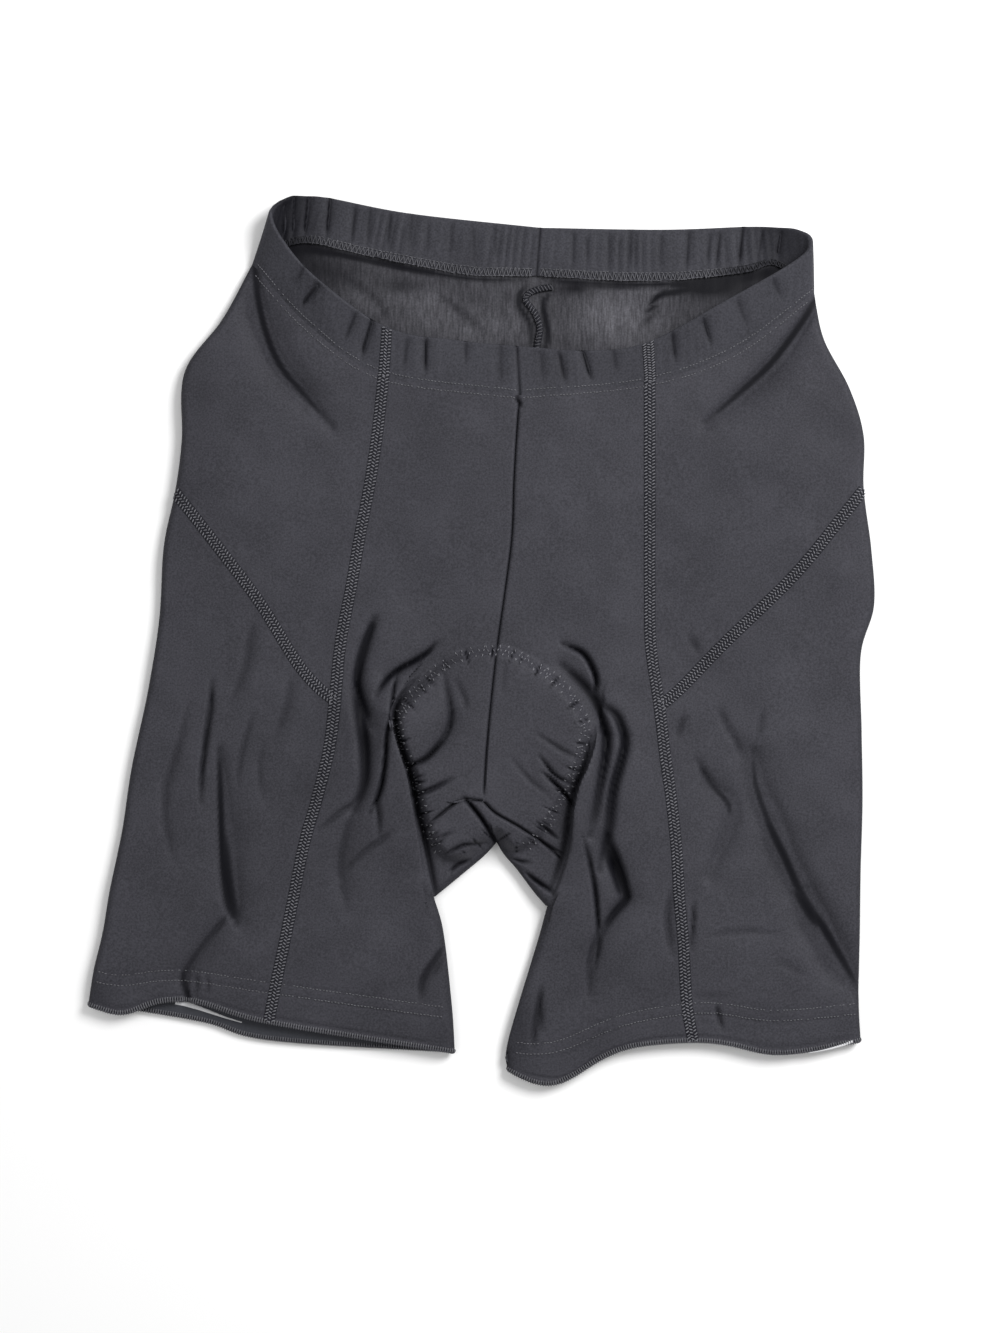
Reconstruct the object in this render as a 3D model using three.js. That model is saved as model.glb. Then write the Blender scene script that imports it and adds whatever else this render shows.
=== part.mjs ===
// Padded cycling shorts, laid flat with the front up. Millimetres, +Y to the waist, +Z up.
// Right and left are the wearer's, so the right half lies at -X.

import * as THREE from 'three';

// Cloth and sewing sizes
const PANEL_THICKNESS = 1.2;
const BAND_THICKNESS = 2.6;
const FACING_THICKNESS = 1.0;
const SEAM_GAP = 0.3;
const SIDE_REACH = 4.2;
const INNER_REACH = 5.5;
const GATHERS_PER_HALF = 22;
const GATHER_DEPTH = 0.9;

// Thickness of the flat garment
const FLAT_HEIGHT = 6.6;
const PAD_RISE = 7.5;
const PAD_EDGE = 7;

// Sections of each half, from the band seam to the hem: seam is the princess seam,
// mid runs half way to the side and side is the fold at the side of the body.
const RIGHT_SECTIONS = [
  { at: 'band seam', seam: [-51, 139], mid: [-89.5, 164.5], side: [-120.5, 198] },
  { at: 'upper belly', seam: [-54, 110.5], mid: [-105.5, 134], side: [-136, 169] },
  { at: 'belly', seam: [-58, 83], mid: [-108, 105], side: [-156, 141] },
  { at: 'upper hip', seam: [-63.5, 54], mid: [-112, 71], side: [-157.5, 105] },
  { at: 'lower belly', seam: [-68, 27.5], mid: [-117, 42], side: [-161, 78] },
  { at: 'hip', seam: [-73.5, -1.5], mid: [-121.5, 10.5], side: [-167, 49.5] },
  { at: 'thigh top', seam: [-77, -32], mid: [-125, -26.5], side: [-169.5, 10.5] },
  { at: 'above fork', seam: [-80, -59], mid: [-128.5, -57], side: [-175.5, -27.5] },
  { at: 'fork', seam: [-86, -84.5], mid: [-134, -87], side: [-184, -67.5] },
  { at: 'inseam', seam: [-92.5, -107], mid: [-139.5, -111], side: [-189, -100.5] },
  { at: 'inner fold', seam: [-98.5, -137], mid: [-146, -139.5], side: [-195.5, -132] },
  { at: 'inner leg', seam: [-102.5, -157], mid: [-149.5, -157], side: [-199.5, -155.5] },
  { at: 'hem stitch', seam: [-107.5, -181], mid: [-153, -174.5], side: [-204, -173] },
  { at: 'hem', seam: [-111.5, -202], mid: [-154.5, -190.5], side: [-207, -191.5] },
];

const LEFT_SECTIONS = [
  { at: 'band seam', seam: [89, 136], mid: [134, 152], side: [176, 183] },
  { at: 'upper belly', seam: [89, 109], mid: [141, 123.5], side: [181, 158.5] },
  { at: 'belly', seam: [89, 82], mid: [149.5, 97], side: [194.5, 132.5] },
  { at: 'upper hip', seam: [89, 54], mid: [155, 67], side: [202, 107.5] },
  { at: 'lower belly', seam: [89, 27], mid: [156.5, 38], side: [202, 79.5] },
  { at: 'hip', seam: [89.5, -3], mid: [157, 7.5], side: [206, 48] },
  { at: 'thigh top', seam: [94, -35], mid: [156.5, -26.5], side: [207.5, 18] },
  { at: 'above fork', seam: [97, -61], mid: [155.5, -58], side: [200.5, -8] },
  { at: 'fork', seam: [100.5, -86], mid: [154.5, -87.5], side: [201, -47.5] },
  { at: 'inseam', seam: [103, -111], mid: [155.5, -114], side: [201.5, -84.5] },
  { at: 'inner fold', seam: [104.5, -136], mid: [157.5, -139.5], side: [200.5, -121.5] },
  { at: 'inner leg', seam: [106.5, -158], mid: [159, -161], side: [200, -155.5] },
  { at: 'hem stitch', seam: [108.5, -191.5], mid: [154.5, -195], side: [199.5, -191.5] },
  { at: 'hem', seam: [112, -212], mid: [156.5, -218.5], side: [200.5, -212] },
];

// Row numbers of the sections where the lines of the garment meet
const BAND_ROW = 1;
const SLANT_ROW = 7;
const FORK_ROW = 9;
const INNER_ROW = 11;
const STITCH_ROW = 13;
const HEM_ROW = 14;

// Centre lines. Front and back run from the band seam to the fork.
const CENTRE_FRONT = [[20.5, 128.5], [19, 109], [17.5, 83], [16.5, 55], [13, 27], [9, -1.5],
  [5.5, -32], [3, -59], [1.5, -84.5]];
const CENTRE_BACK = [[29.5, 192], [29, 168], [27.5, 131.5], [25.5, 94.5], [23, 55], [19.5, 15.5],
  [16, -26.5], [12.5, -66], [8.5, -107]];

const HALVES = {
  right: {
    sections: RIGHT_SECTIONS,
    inseam: [[1.5, -84.5], [-10.5, -84.5], [-21.5, -92], [-30.5, -101], [-29.5, -118], [-24.5, -136]],
    arch: [[8.5, -107], [2, -114], [-7.5, -122], [-16, -129], [-24.5, -136]],
    innerLeg: [[-24.5, -136], [-19.5, -154.5], [-15, -194], [-13.5, -218]],
    backBandSeam: [[-120.5, 198], [-95, 209.5], [-63, 203.5], [-33.5, 197.5], [-4, 192.5], [29.5, 192]],
    backHem: [[-207, -191.5], [-147.5, -201.5], [-111, -211.5], [-13.5, -218]],
    slantRows: { seam: SLANT_ROW, mid: 5.57, side: 5 },
    rim: [
      { around: 0, x: 19, y: 154.5, z: 7.2 },
      { around: 0.5, x: -12.5, y: 157.5, z: 7.6 },
      { around: 1, x: -49, y: 164, z: 9 },
      { around: 2, x: -85, y: 188.5, z: 13 },
      { around: 2.6, x: -103.5, y: 208.5, z: 15 },
      { around: 3, x: -110.5, y: 224.5, z: 13 },
      { around: 3.4, x: -102, y: 233, z: 6 },
      { around: 3.7, x: -92, y: 234, z: 2 },
      { around: 4, x: -79, y: 233, z: 0.3 },
      { around: 5, x: -37, y: 225, z: 0 },
      { around: 6, x: 31.5, y: 217.5, z: 0 },
    ],
  },
  left: {
    sections: LEFT_SECTIONS,
    inseam: [[1.5, -84.5], [8, -91], [21, -98.5], [34, -107.5], [43, -116], [40.5, -129], [35, -141]],
    arch: [[8.5, -107], [12.5, -113.5], [19, -121], [28, -133], [35, -141]],
    innerLeg: [[35, -141], [29, -162.5], [14.5, -207.5], [14, -219]],
    backBandSeam: [[176, 183], [156, 197.5], [140.5, 194], [110.5, 190.5], [81, 189.5], [29.5, 192]],
    backHem: [[200.5, -212], [152.5, -213], [106.5, -208.5], [14, -219]],
    slantRows: { seam: SLANT_ROW, mid: 5.42, side: 5 },
    rim: [
      { around: 0, x: 19, y: 154.5, z: 7.2 },
      { around: 0.5, x: 58.5, y: 152, z: 7.6 },
      { around: 1, x: 88.5, y: 156.5, z: 9 },
      { around: 2, x: 129.5, y: 178, z: 12 },
      { around: 2.6, x: 167, y: 199.5, z: 13 },
      { around: 3, x: 174.5, y: 210.5, z: 10 },
      { around: 3.4, x: 167.5, y: 216, z: 5 },
      { around: 3.7, x: 157, y: 217.5, z: 1.6 },
      { around: 4, x: 140.5, y: 218, z: 0.2 },
      { around: 5, x: 95.5, y: 216.5, z: 0 },
      { around: 6, x: 31.5, y: 217.5, z: 0 },
    ],
  },
};

// Dips of the hem line: where, how far down and how wide
const HEM_DIPS = [
  { half: 'right', x: -189, drop: 6.5, width: 15 },
  { half: 'left', x: 37, drop: 17, width: 26 },
];

// Outline of the seat pad
const PAD_OUTLINE = [[-34, -72.5], [-42.5, -52], [-42.5, -39.5], [-33, -27], [-18.5, -13], [-4, -7], [12.5, -6],
  [29, -14], [41.5, -23], [52.5, -38], [54.5, -50], [49, -70], [41.5, -84], [35.5, -95.5], [27, -106],
  [17, -110], [8.5, -101], [0, -107], [-9, -114], [-20, -112], [-29, -96]];

// Broad mounds of the cloth: centre, height and half width each way
const MOUNDS = [
  { where: 'right inner thigh', x: -60, y: -75, height: 5.5, wide: 36, long: 62 },
  { where: 'left inner thigh', x: 72, y: -82, height: 5.5, wide: 34, long: 60 },
  { where: 'right hip', x: -125, y: 95, height: 2.5, wide: 40, long: 70 },
  { where: 'left hip', x: 165, y: 75, height: 2.5, wide: 40, long: 70 },
  { where: 'belly', x: 20, y: 60, height: 1.5, wide: 70, long: 60 },
  { where: 'right knee', x: -120, y: -160, height: 1.5, wide: 60, long: 50 },
  { where: 'left knee', x: 110, y: -165, height: 1.8, wide: 60, long: 50 },
];

// Folds and creases: height above the cloth, less than nothing for a trough,
// and the half width on the -X side and on the +X side of the line.
const FOLDS = [
  { where: 'right leg roll', height: 7, west: 24, east: 4.5,
    path: [[-39, -24.5], [-44, -31], [-46.5, -40.5], [-42, -60.5], [-36, -83.5], [-33, -100.5], [-27.5, -123.5]] },
  { where: 'left leg roll', height: 7, west: 4.5, east: 24,
    path: [[58.5, -49], [57.5, -59], [54.5, -70.5], [50.5, -83.5], [47.5, -103.5], [44, -115.5], [38, -131]] },
  { where: 'right thigh trough', height: -3, west: 9, east: 12,
    path: [[-137.5, -68], [-135, -87], [-132.5, -108], [-131, -129], [-127, -146.5]] },
  { where: 'right hem trough', height: -2.6, west: 9, east: 8,
    path: [[-131, -139.5], [-139, -152], [-146, -162.5], [-155, -174.5], [-156, -185]] },
  { where: 'left thigh diagonal', height: -3.4, west: 11, east: 9,
    path: [[143, -63], [144.5, -77], [152, -94.5], [156.5, -113.5], [164, -125.5], [174.5, -143.5],
      [181.5, -157], [189.5, -171.5], [198.5, -183.5]] },
  { where: 'left thigh hollow', height: -2.6, west: 8, east: 10,
    path: [[115, -66.5], [122, -77], [131, -87], [129.5, -101.5], [122, -122.5]] },
  { where: 'right waist fold', height: -3, west: 10, east: 9,
    path: [[-118.5, 190.5], [-115, 175.5], [-107.5, 156], [-98.5, 139.5], [-86.5, 125], [-76.5, 115]] },
  { where: 'left waist fold', height: -3, west: 9, east: 10,
    path: [[171, 168], [162.5, 153.5], [150.5, 139.5], [135.5, 126.5], [121, 115]] },
  { where: 'right groin crease', height: -2.4, west: 7, east: 8,
    path: [[-58, 6], [-61.5, -3], [-65, -15], [-66, -24], [-63, -38], [-59, -44], [-60.5, -60.5],
      [-61.5, -73.5], [-66.5, -87.5]] },
  { where: 'right pad tuck', height: -2, west: 6, east: 7,
    path: [[-25, -4], [-31, -9.5], [-39, -14], [-47, -16], [-52, -21], [-56.5, -27]] },
  { where: 'left groin crease', height: -2.6, west: 7, east: 7,
    path: [[43, -14], [51, -21], [59, -33], [65, -46], [67.5, -60.5], [66, -77], [64, -95.5], [61, -114.5]] },
  { where: 'left inner thigh crease', height: -2.2, west: 7, east: 8,
    path: [[68, -108.5], [72.5, -123.5], [76, -134], [75, -139.5], [64.5, -154], [59, -169], [57, -185]] },
  { where: 'pad hollow', height: -1.8, west: 8, east: 7,
    path: [[-19.5, -16], [-15, -38], [-18, -49], [-25, -58], [-35, -65]] },
];

// How far the front panel goes round the inner leg to the inseam, at Q and at the hem
const WRAP_AT_FORK = 2.5;
const WRAP_AT_HEM = 14;

// Cuts of the cloth into cells
const ROW_STOPS = [
  { from: BAND_ROW, to: SLANT_ROW, steps: 16 },
  { from: SLANT_ROW, to: FORK_ROW, steps: 6 },
  { from: FORK_ROW, to: INNER_ROW, steps: 8 },
  { from: INNER_ROW, to: STITCH_ROW, steps: 5 },
  { from: STITCH_ROW, to: HEM_ROW, steps: 2 },
];
const FRONT_COLUMNS = 12;
const STRIP_TOP_COLUMNS = 10;
const STRIP_UNDER_COLUMNS = 4;
const BACK_COLUMNS = 5;
const WRAP_COLUMNS = 5;
const GUSSET_COLUMNS = 6;
const FOLD_STEPS = [0.134, 0.5, 1];

const CHARCOAL = 0x3a3a3e;
const BAND_COLOUR = 0x37373b;
const GRIPPER_COLOUR = 0x77787c;
const PAD_COLOUR = 0x2c2c30;

// A smooth curve through the points of a list, at list position t
function along(list, t) {
  const last = list.length - 1;
  const i = Math.max(0, Math.min(last - 1, Math.floor(t)));
  const f = t - i;
  const b = list[i];
  const c = list[i + 1];
  const a = i > 0 ? list[i - 1] : b.map((v, k) => 2 * v - c[k]);
  const d = i + 2 <= last ? list[i + 2] : c.map((v, k) => 2 * v - b[k]);
  return b.map((v, k) => 0.5 * (2 * v + (c[k] - a[k]) * f
    + (2 * a[k] - 5 * v + 4 * c[k] - d[k]) * f * f
    + (3 * v - a[k] - 3 * c[k] + d[k]) * f * f * f));
}

const mix = (a, b, t) => a.map((v, k) => v + (b[k] - v) * t);

function smooth(t) {
  const c = Math.max(0, Math.min(1, t));
  return c * c * (3 - 2 * c);
}

function curve(list, steps) {
  const points = [];
  for (let i = 0; i <= steps; i += 1) {
    points.push(along(list, (i / steps) * (list.length - 1)));
  }
  return points;
}

// Nearest place on a line of points: distance, side and position along it from 0 to 1
function nearest(points, x, y) {
  let best = Infinity;
  let side = 0;
  let place = 0;
  const last = points.length - 1;
  for (let i = 0; i < last; i += 1) {
    const [ax, ay] = points[i];
    const ux = points[i + 1][0] - ax;
    const uy = points[i + 1][1] - ay;
    const t = Math.max(0, Math.min(1, ((x - ax) * ux + (y - ay) * uy) / (ux * ux + uy * uy)));
    const dx = x - ax - t * ux;
    const dy = y - ay - t * uy;
    const distance = Math.hypot(dx, dy);
    if (distance < best) {
      best = distance;
      side = ux * dy - uy * dx;
      place = (i + t) / last;
    }
  }
  return { distance: best, side, place };
}

function insideOutline(outline, x, y) {
  let inside = false;
  for (let i = 0; i < outline.length; i += 1) {
    const [ax, ay] = outline[i];
    const [bx, by] = outline[(i + 1) % outline.length];
    if ((ay > y) !== (by > y) && x < ax + ((bx - ax) * (y - ay)) / (by - ay)) {
      inside = !inside;
    }
  }
  return inside;
}

// Signed distance into the pad's outline
function padDepth(x, y) {
  const ring = PAD_OUTLINE.concat([PAD_OUTLINE[0]]);
  const { distance } = nearest(ring, x, y);
  return insideOutline(PAD_OUTLINE, x, y) ? distance : -distance;
}

function foldHeight(fold, x, y) {
  const near = nearest(fold.path, x, y);
  const northward = fold.path[fold.path.length - 1][1] > fold.path[0][1];
  const west = northward ? near.side > 0 : near.side < 0;
  const width = west ? fold.west : fold.east;
  const fade = Math.sqrt(Math.sin(Math.PI * Math.max(0.04, Math.min(0.96, near.place))));
  return fold.height * fade * Math.exp(-((near.distance / width) ** 2));
}

// Height of the outer surface of the upper layer
function topHeight(x, y) {
  let height = FLAT_HEIGHT;
  for (const mound of MOUNDS) {
    height += mound.height * Math.exp(-(((x - mound.x) / mound.wide) ** 2) - ((y - mound.y) / mound.long) ** 2);
  }
  for (const fold of FOLDS) {
    height += foldHeight(fold, x, y);
  }
  height += PAD_RISE * smooth((padDepth(x, y) + PAD_EDGE * 0.5) / PAD_EDGE);
  return Math.max(height, 5.4);
}

// Lines of one half: each gives a point in plan for a row
function centreFront(half, row) {
  if (row <= FORK_ROW) {
    return along(CENTRE_FRONT, row - BAND_ROW);
  }
  if (row <= INNER_ROW) {
    return along(half.inseam, ((row - FORK_ROW) / (INNER_ROW - FORK_ROW)) * (half.inseam.length - 1));
  }
  return along(half.innerLeg, row - INNER_ROW);
}

function centreBack(half, row) {
  if (row <= FORK_ROW) {
    return along(CENTRE_BACK, row - BAND_ROW);
  }
  if (row <= INNER_ROW) {
    return along(half.arch, ((row - FORK_ROW) / (INNER_ROW - FORK_ROW)) * (half.arch.length - 1));
  }
  return along(half.innerLeg, row - INNER_ROW);
}

function column(half, name, row) {
  return along(half.sections.map((section) => section[name]), row - BAND_ROW);
}

function hemDip(half, x, row) {
  const weight = smooth((row - 12) / 2);
  let drop = 0;
  for (const dip of HEM_DIPS) {
    if (HALVES[dip.half] === half) {
      drop += dip.drop * Math.exp(-(((x - dip.x) / dip.width) ** 2));
    }
  }
  return drop * weight;
}

// Upper layer in plan: 0 at the centre, 1 at the princess seam, 2 midway, 3 at the side fold
function topPlan(half, row, across) {
  const points = [centreFront(half, row), column(half, 'seam', row), column(half, 'mid', row),
    column(half, 'side', row)];
  const [x, y] = along(points, across);
  return [x, y - hemDip(half, x, row)];
}

// Under layer in plan: 3 at the side fold, 5 at the back princess seam, 6 at the centre
function underPlan(half, row, across) {
  const side = column(half, 'side', row);
  const centre = centreBack(half, row);
  const share = (across - 3) / 3;
  const [flatX, flatY] = mix(side, centre, share);
  const [bandX, bandY] = offLine(half.backBandSeam, share);
  const [hemX, hemY] = offLine(half.backHem, share);
  const bandShare = smooth(BAND_ROW + 1 - row);
  const hemShare = smooth((row - 12) / 2);
  const x = flatX + bandX * bandShare + hemX * hemShare;
  const y = flatY + bandY * bandShare + hemY * hemShare;
  const nearFold = Math.exp(-(((across - 3) / 0.2) ** 2)) + Math.exp(-(((across - 6) / 0.5) ** 2));
  return [x, y - hemDip(half, x, row) * nearFold];
}

// How far a line bows off the straight line between its ends
function offLine(line, share) {
  const [x, y] = along(line, share * (line.length - 1));
  const [chordX, chordY] = mix(line[0], line[line.length - 1], share);
  return [x - chordX, y - chordY];
}

// The round of a fold: 0 at its edge, 1 past its reach
function roundOff(distance, reach) {
  const t = 1 - Math.min(distance, reach) / reach;
  return Math.sqrt(1 - t * t);
}

const foldLines = new Map();

function foldLine(half) {
  if (!foldLines.has(half)) {
    const inner = curve(half.innerLeg, 40).slice(1);
    const [x, y] = inner[inner.length - 1];
    foldLines.set(half, curve(half.arch, 40).concat(inner, [[x, y - 20]]));
  }
  return foldLines.get(half);
}

// Share of the full height at a place: 0 on a fold, 1 away from it
function foldShare(half, x, y, sideDistance) {
  const inner = nearest(foldLine(half), x, y).distance;
  return Math.min(roundOff(sideDistance, SIDE_REACH), roundOff(inner, INNER_REACH));
}

function sideDistance(half, row, x, y) {
  const [sideX, sideY] = topPlan(half, row, 3);
  return Math.hypot(x - sideX, y - sideY);
}

function topPoint(half, row, across) {
  const [x, y] = topPlan(half, row, across);
  const onFold = across === 0 && row >= INNER_ROW;
  const share = onFold ? 0 : foldShare(half, x, y, across > 2 ? sideDistance(half, row, x, y) : 99);
  return [x, y, topHeight(x, y) * (0.5 + 0.5 * share)];
}

function underPoint(half, row, across) {
  const [x, y] = underPlan(half, row, across);
  const onFold = across === 6 && row >= FORK_ROW;
  const share = onFold ? 0 : foldShare(half, x, y, across < 4 ? sideDistance(half, row, x, y) : 99);
  const under = topHeight(x, y) * (0.5 - 0.5 * share);
  return [x, y, under < 0.02 ? 0 : under];
}

// Rows shared by all the panels of both halves
function rowList() {
  const rows = [BAND_ROW];
  for (const stop of ROW_STOPS) {
    for (let i = 1; i <= stop.steps; i += 1) {
      rows.push(stop.from + ((stop.to - stop.from) * i) / stop.steps);
    }
  }
  return rows;
}

const ROWS = rowList();

// Positions across a panel whose first few lie on the round of a fold
function foldedPositions(count, length, reach, share) {
  const positions = [];
  for (let i = 0; i <= count; i += 1) {
    const even = i / count;
    let folded = i === 0 ? 0 : (FOLD_STEPS[i - 1] * reach) / length;
    if (i > FOLD_STEPS.length) {
      const start = reach / length;
      folded = start + ((1 - start) * (i - FOLD_STEPS.length)) / (count - FOLD_STEPS.length);
    }
    positions.push(even + (folded - even) * share);
  }
  return positions;
}

function planLength(plan, half, row, from, to) {
  const a = plan(half, row, from);
  const b = plan(half, row, to);
  return Math.hypot(a[0] - b[0], a[1] - b[1]);
}

// A patch is a grid of points, rows first
function gridPatch(rows, columnCount, pointAt, flip) {
  const points = [];
  const faces = [];
  for (let i = 0; i < rows.length; i += 1) {
    for (let j = 0; j < columnCount; j += 1) {
      points.push(pointAt(rows[i], j));
    }
  }
  for (let i = 0; i + 1 < rows.length; i += 1) {
    for (let j = 0; j + 1 < columnCount; j += 1) {
      const a = i * columnCount + j;
      const b = a + 1;
      const c = a + columnCount;
      const d = c + 1;
      if (flip) {
        faces.push([a, d, b], [a, c, d]);
      } else {
        faces.push([a, b, d], [a, d, c]);
      }
    }
  }
  return { points, faces };
}

const keyOf = (p) => p.map((v) => Math.round(v * 500)).join(',');

// Patches joined where their points meet
function weld(patches) {
  const index = new Map();
  const points = [];
  const faces = [];
  for (const patch of patches) {
    const ids = patch.points.map((p) => {
      const key = keyOf(p);
      if (!index.has(key)) {
        index.set(key, points.length);
        points.push(p);
      }
      return index.get(key);
    });
    for (const face of patch.faces) {
      const [a, b, c] = face.map((k) => ids[k]);
      if (a !== b && b !== c && a !== c) {
        faces.push([a, b, c]);
      }
    }
  }
  return { points, faces };
}

function addNormals(surface, sums) {
  for (const [a, b, c] of surface.faces) {
    const [p, q, r] = [a, b, c].map((k) => new THREE.Vector3(...surface.points[k]));
    const normal = q.clone().sub(p).cross(r.clone().sub(p));
    for (const k of [a, b, c]) {
      const key = keyOf(surface.points[k]);
      if (!sums.has(key)) {
        sums.set(key, new THREE.Vector3());
      }
      sums.get(key).add(normal);
    }
  }
}

function boundaryLoops(faces) {
  const used = new Set();
  for (const [a, b, c] of faces) {
    used.add(`${a},${b}`);
    used.add(`${b},${c}`);
    used.add(`${c},${a}`);
  }
  const edges = [];
  for (const [a, b, c] of faces) {
    for (const [u, v] of [[a, b], [b, c], [c, a]]) {
      if (!used.has(`${v},${u}`)) {
        edges.push([u, v]);
      }
    }
  }
  return edges;
}

// A closed wall: the outer surface, drawn in by half a seam gap at its edges,
// an inner surface at the given depth, and rims between them. Relief stands on the
// outer side, or on the inner side where the cloth rests on its outer side.
function wall(surface, normals, { depth, thickness, relief }) {
  const edges = boundaryLoops(surface.faces);
  const unit = surface.points.map((p) => normals.get(keyOf(p)).clone().normalize());
  const pull = surface.points.map(() => []);
  for (const [a, b] of edges) {
    const step = new THREE.Vector3(...surface.points[b]).sub(new THREE.Vector3(...surface.points[a]));
    const mean = unit[a].clone().add(unit[b]).normalize();
    const inward = mean.cross(step).normalize();
    pull[a].push(inward);
    pull[b].push(inward);
  }
  const outer = [];
  const inner = [];
  surface.points.forEach((p, k) => {
    const point = new THREE.Vector3(...p);
    if (pull[k].length === 2) {
      const [u, v] = pull[k];
      point.addScaledVector(u.clone().add(v), (SEAM_GAP / 2) / (1 + Math.max(-0.3, u.dot(v))));
    }
    const lift = relief ? relief(k) : 0;
    const under = unit[k].z < -0.3;
    const skin = point.clone().addScaledVector(unit[k], (under ? 0 : lift) - depth);
    skin.z = Math.max(0, skin.z);
    outer.push(skin);
    inner.push(point.clone().addScaledVector(unit[k], -depth - thickness - (under ? lift : 0)));
  });
  const count = outer.length;
  const positions = [];
  for (const p of outer.concat(inner)) {
    positions.push(p.x, p.y, p.z);
  }
  const faces = [];
  for (const [a, b, c] of surface.faces) {
    faces.push(a, b, c, count + a, count + c, count + b);
  }
  for (const [a, b] of edges) {
    faces.push(b, a, count + a, b, count + a, count + b);
  }
  const geometry = new THREE.BufferGeometry();
  geometry.setAttribute('position', new THREE.Float32BufferAttribute(positions, 3));
  geometry.setIndex(faces);
  return geometry;
}

// Positions across the pieces of one half
function frontPositions(half, row) {
  const share = smooth((row - FORK_ROW) / (INNER_ROW - FORK_ROW));
  return foldedPositions(FRONT_COLUMNS, planLength(topPlan, half, row, 0, 1), INNER_REACH, share);
}

function stripPositions(half, row) {
  const topLength = planLength(topPlan, half, row, 2, 3);
  const underLength = planLength(underPlan, half, row, 3, 4);
  const positions = [];
  const topStart = 3 - SIDE_REACH / topLength;
  for (let i = 0; i <= STRIP_TOP_COLUMNS; i += 1) {
    positions.push(1 + ((topStart - 1) * i) / STRIP_TOP_COLUMNS);
  }
  positions.push(3 - (0.5 * SIDE_REACH) / topLength, 3 - (0.134 * SIDE_REACH) / topLength, 3);
  positions.push(3 + (0.134 * SIDE_REACH) / underLength, 3 + (0.5 * SIDE_REACH) / underLength);
  const underStart = 3 + SIDE_REACH / underLength;
  for (let i = 0; i <= STRIP_UNDER_COLUMNS; i += 1) {
    positions.push(underStart + ((5 - underStart) * i) / STRIP_UNDER_COLUMNS);
  }
  return positions;
}

function stripPoint(half, row, across) {
  return across <= 3 ? topPoint(half, row, across) : underPoint(half, row, across);
}

// Row of the slanted seam at a position across
function slantRow(half, across) {
  const { seam, mid, side } = half.slantRows;
  const mirrored = across > 3 ? 6 - across : across;
  return along([[seam], [mid], [side]], mirrored - 1)[0];
}

function wrapLength(row) {
  const share = (row - INNER_ROW) / (HEM_ROW - INNER_ROW);
  return WRAP_AT_FORK + (WRAP_AT_HEM - WRAP_AT_FORK) * smooth(share * 1.4);
}

// Under layer near the inner leg, at a distance from the fold
function underAcross(half, row, distance) {
  return 6 - (distance / planLength(underPlan, half, row, 5, 6));
}

function frontSurface(half, flip, rows = ROWS) {
  const columns = FRONT_COLUMNS + 1;
  const main = gridPatch(rows, columns, (row, j) => topPoint(half, row, frontPositions(half, row)[j]), flip);
  const legRows = rows.filter((row) => row >= INNER_ROW);
  const wrap = gridPatch(legRows, WRAP_COLUMNS + 1, (row, j) => {
    const reach = wrapLength(row);
    const shares = [0, 0.06, 0.2, 0.42, 0.7, 1];
    return j === 0 ? topPoint(half, row, 0) : underPoint(half, row, underAcross(half, row, reach * shares[j]));
  }, !flip);
  return weld([main, wrap]);
}

function hipSurface(half, flip) {
  const rows = ROWS.filter((row) => row <= SLANT_ROW);
  const count = stripPositions(half, BAND_ROW).length;
  return weld([gridPatch(rows, count, (row, j) => {
    const share = (row - BAND_ROW) / (SLANT_ROW - BAND_ROW);
    let across = stripPositions(half, row)[j];
    const actual = BAND_ROW + (slantRow(half, across) - BAND_ROW) * share;
    across = stripPositions(half, actual)[j];
    return stripPoint(half, BAND_ROW + (slantRow(half, across) - BAND_ROW) * share, across);
  }, flip)]);
}

function thighSurface(half, flip, rows = ROWS) {
  const count = stripPositions(half, BAND_ROW).length;
  return weld([gridPatch(rows.filter((row) => row >= SLANT_ROW), count, (row, j) => {
    const share = (HEM_ROW - row) / (HEM_ROW - SLANT_ROW);
    let across = stripPositions(half, row)[j];
    const actual = HEM_ROW + (slantRow(half, across) - HEM_ROW) * share;
    across = stripPositions(half, actual)[j];
    return stripPoint(half, HEM_ROW + (slantRow(half, across) - HEM_ROW) * share, across);
  }, flip)]);
}

function backSurface(half, flip, rows = ROWS) {
  const columns = BACK_COLUMNS + FOLD_STEPS.length + 1;
  const main = gridPatch(rows, columns, (row, j) => {
    const legShare = smooth((row - FORK_ROW + 0.6) / 0.6);
    const length = planLength(underPlan, half, row, 5, 6);
    const count = columns - 1;
    const folded = foldedPositions(count, length, INNER_REACH, row > INNER_ROW ? 0 : legShare);
    const end = row >= INNER_ROW ? underAcross(half, row, wrapLength(row) + SEAM_GAP) : 6;
    return underPoint(half, row, 5 + (end - 5) * (1 - folded[count - j]));
  }, flip);
  const forkRows = rows.filter((row) => row >= FORK_ROW && row < INNER_ROW);
  if (forkRows.length < 2) {
    return weld([main]);
  }
  const shares = [0, 0.1, 0.3, 0.55, 0.78, 0.98];
  const gusset = gridPatch(forkRows, GUSSET_COLUMNS, (row, j) => {
    const [x, y] = mix(centreBack(half, row), centreFront(half, row), shares[j]);
    const share = j === 0 ? 0 : foldShare(half, x, y, 99);
    return [x, y, topHeight(x, y) * (0.5 + 0.5 * share)];
  }, flip);
  return weld([main, gusset]);
}

// Gripper: the last rows of the leg as one ring, which lies in under the shell
function gripperSurface(half, flip) {
  const rows = ROWS.filter((row) => row >= STITCH_ROW);
  return weld([frontSurface, thighSurface, backSurface].map((build) => build(half, flip, rows)));
}

// Waistband: one ring between its rim and the band seam
function seamRing(half) {
  const points = [];
  for (let i = 0; i <= 160; i += 1) {
    points.push(topPoint(half, BAND_ROW, (3 * i) / 160));
  }
  for (let i = 1; i <= 160; i += 1) {
    points.push(underPoint(half, BAND_ROW, 3 + (3 * i) / 160));
  }
  return points;
}

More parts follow.
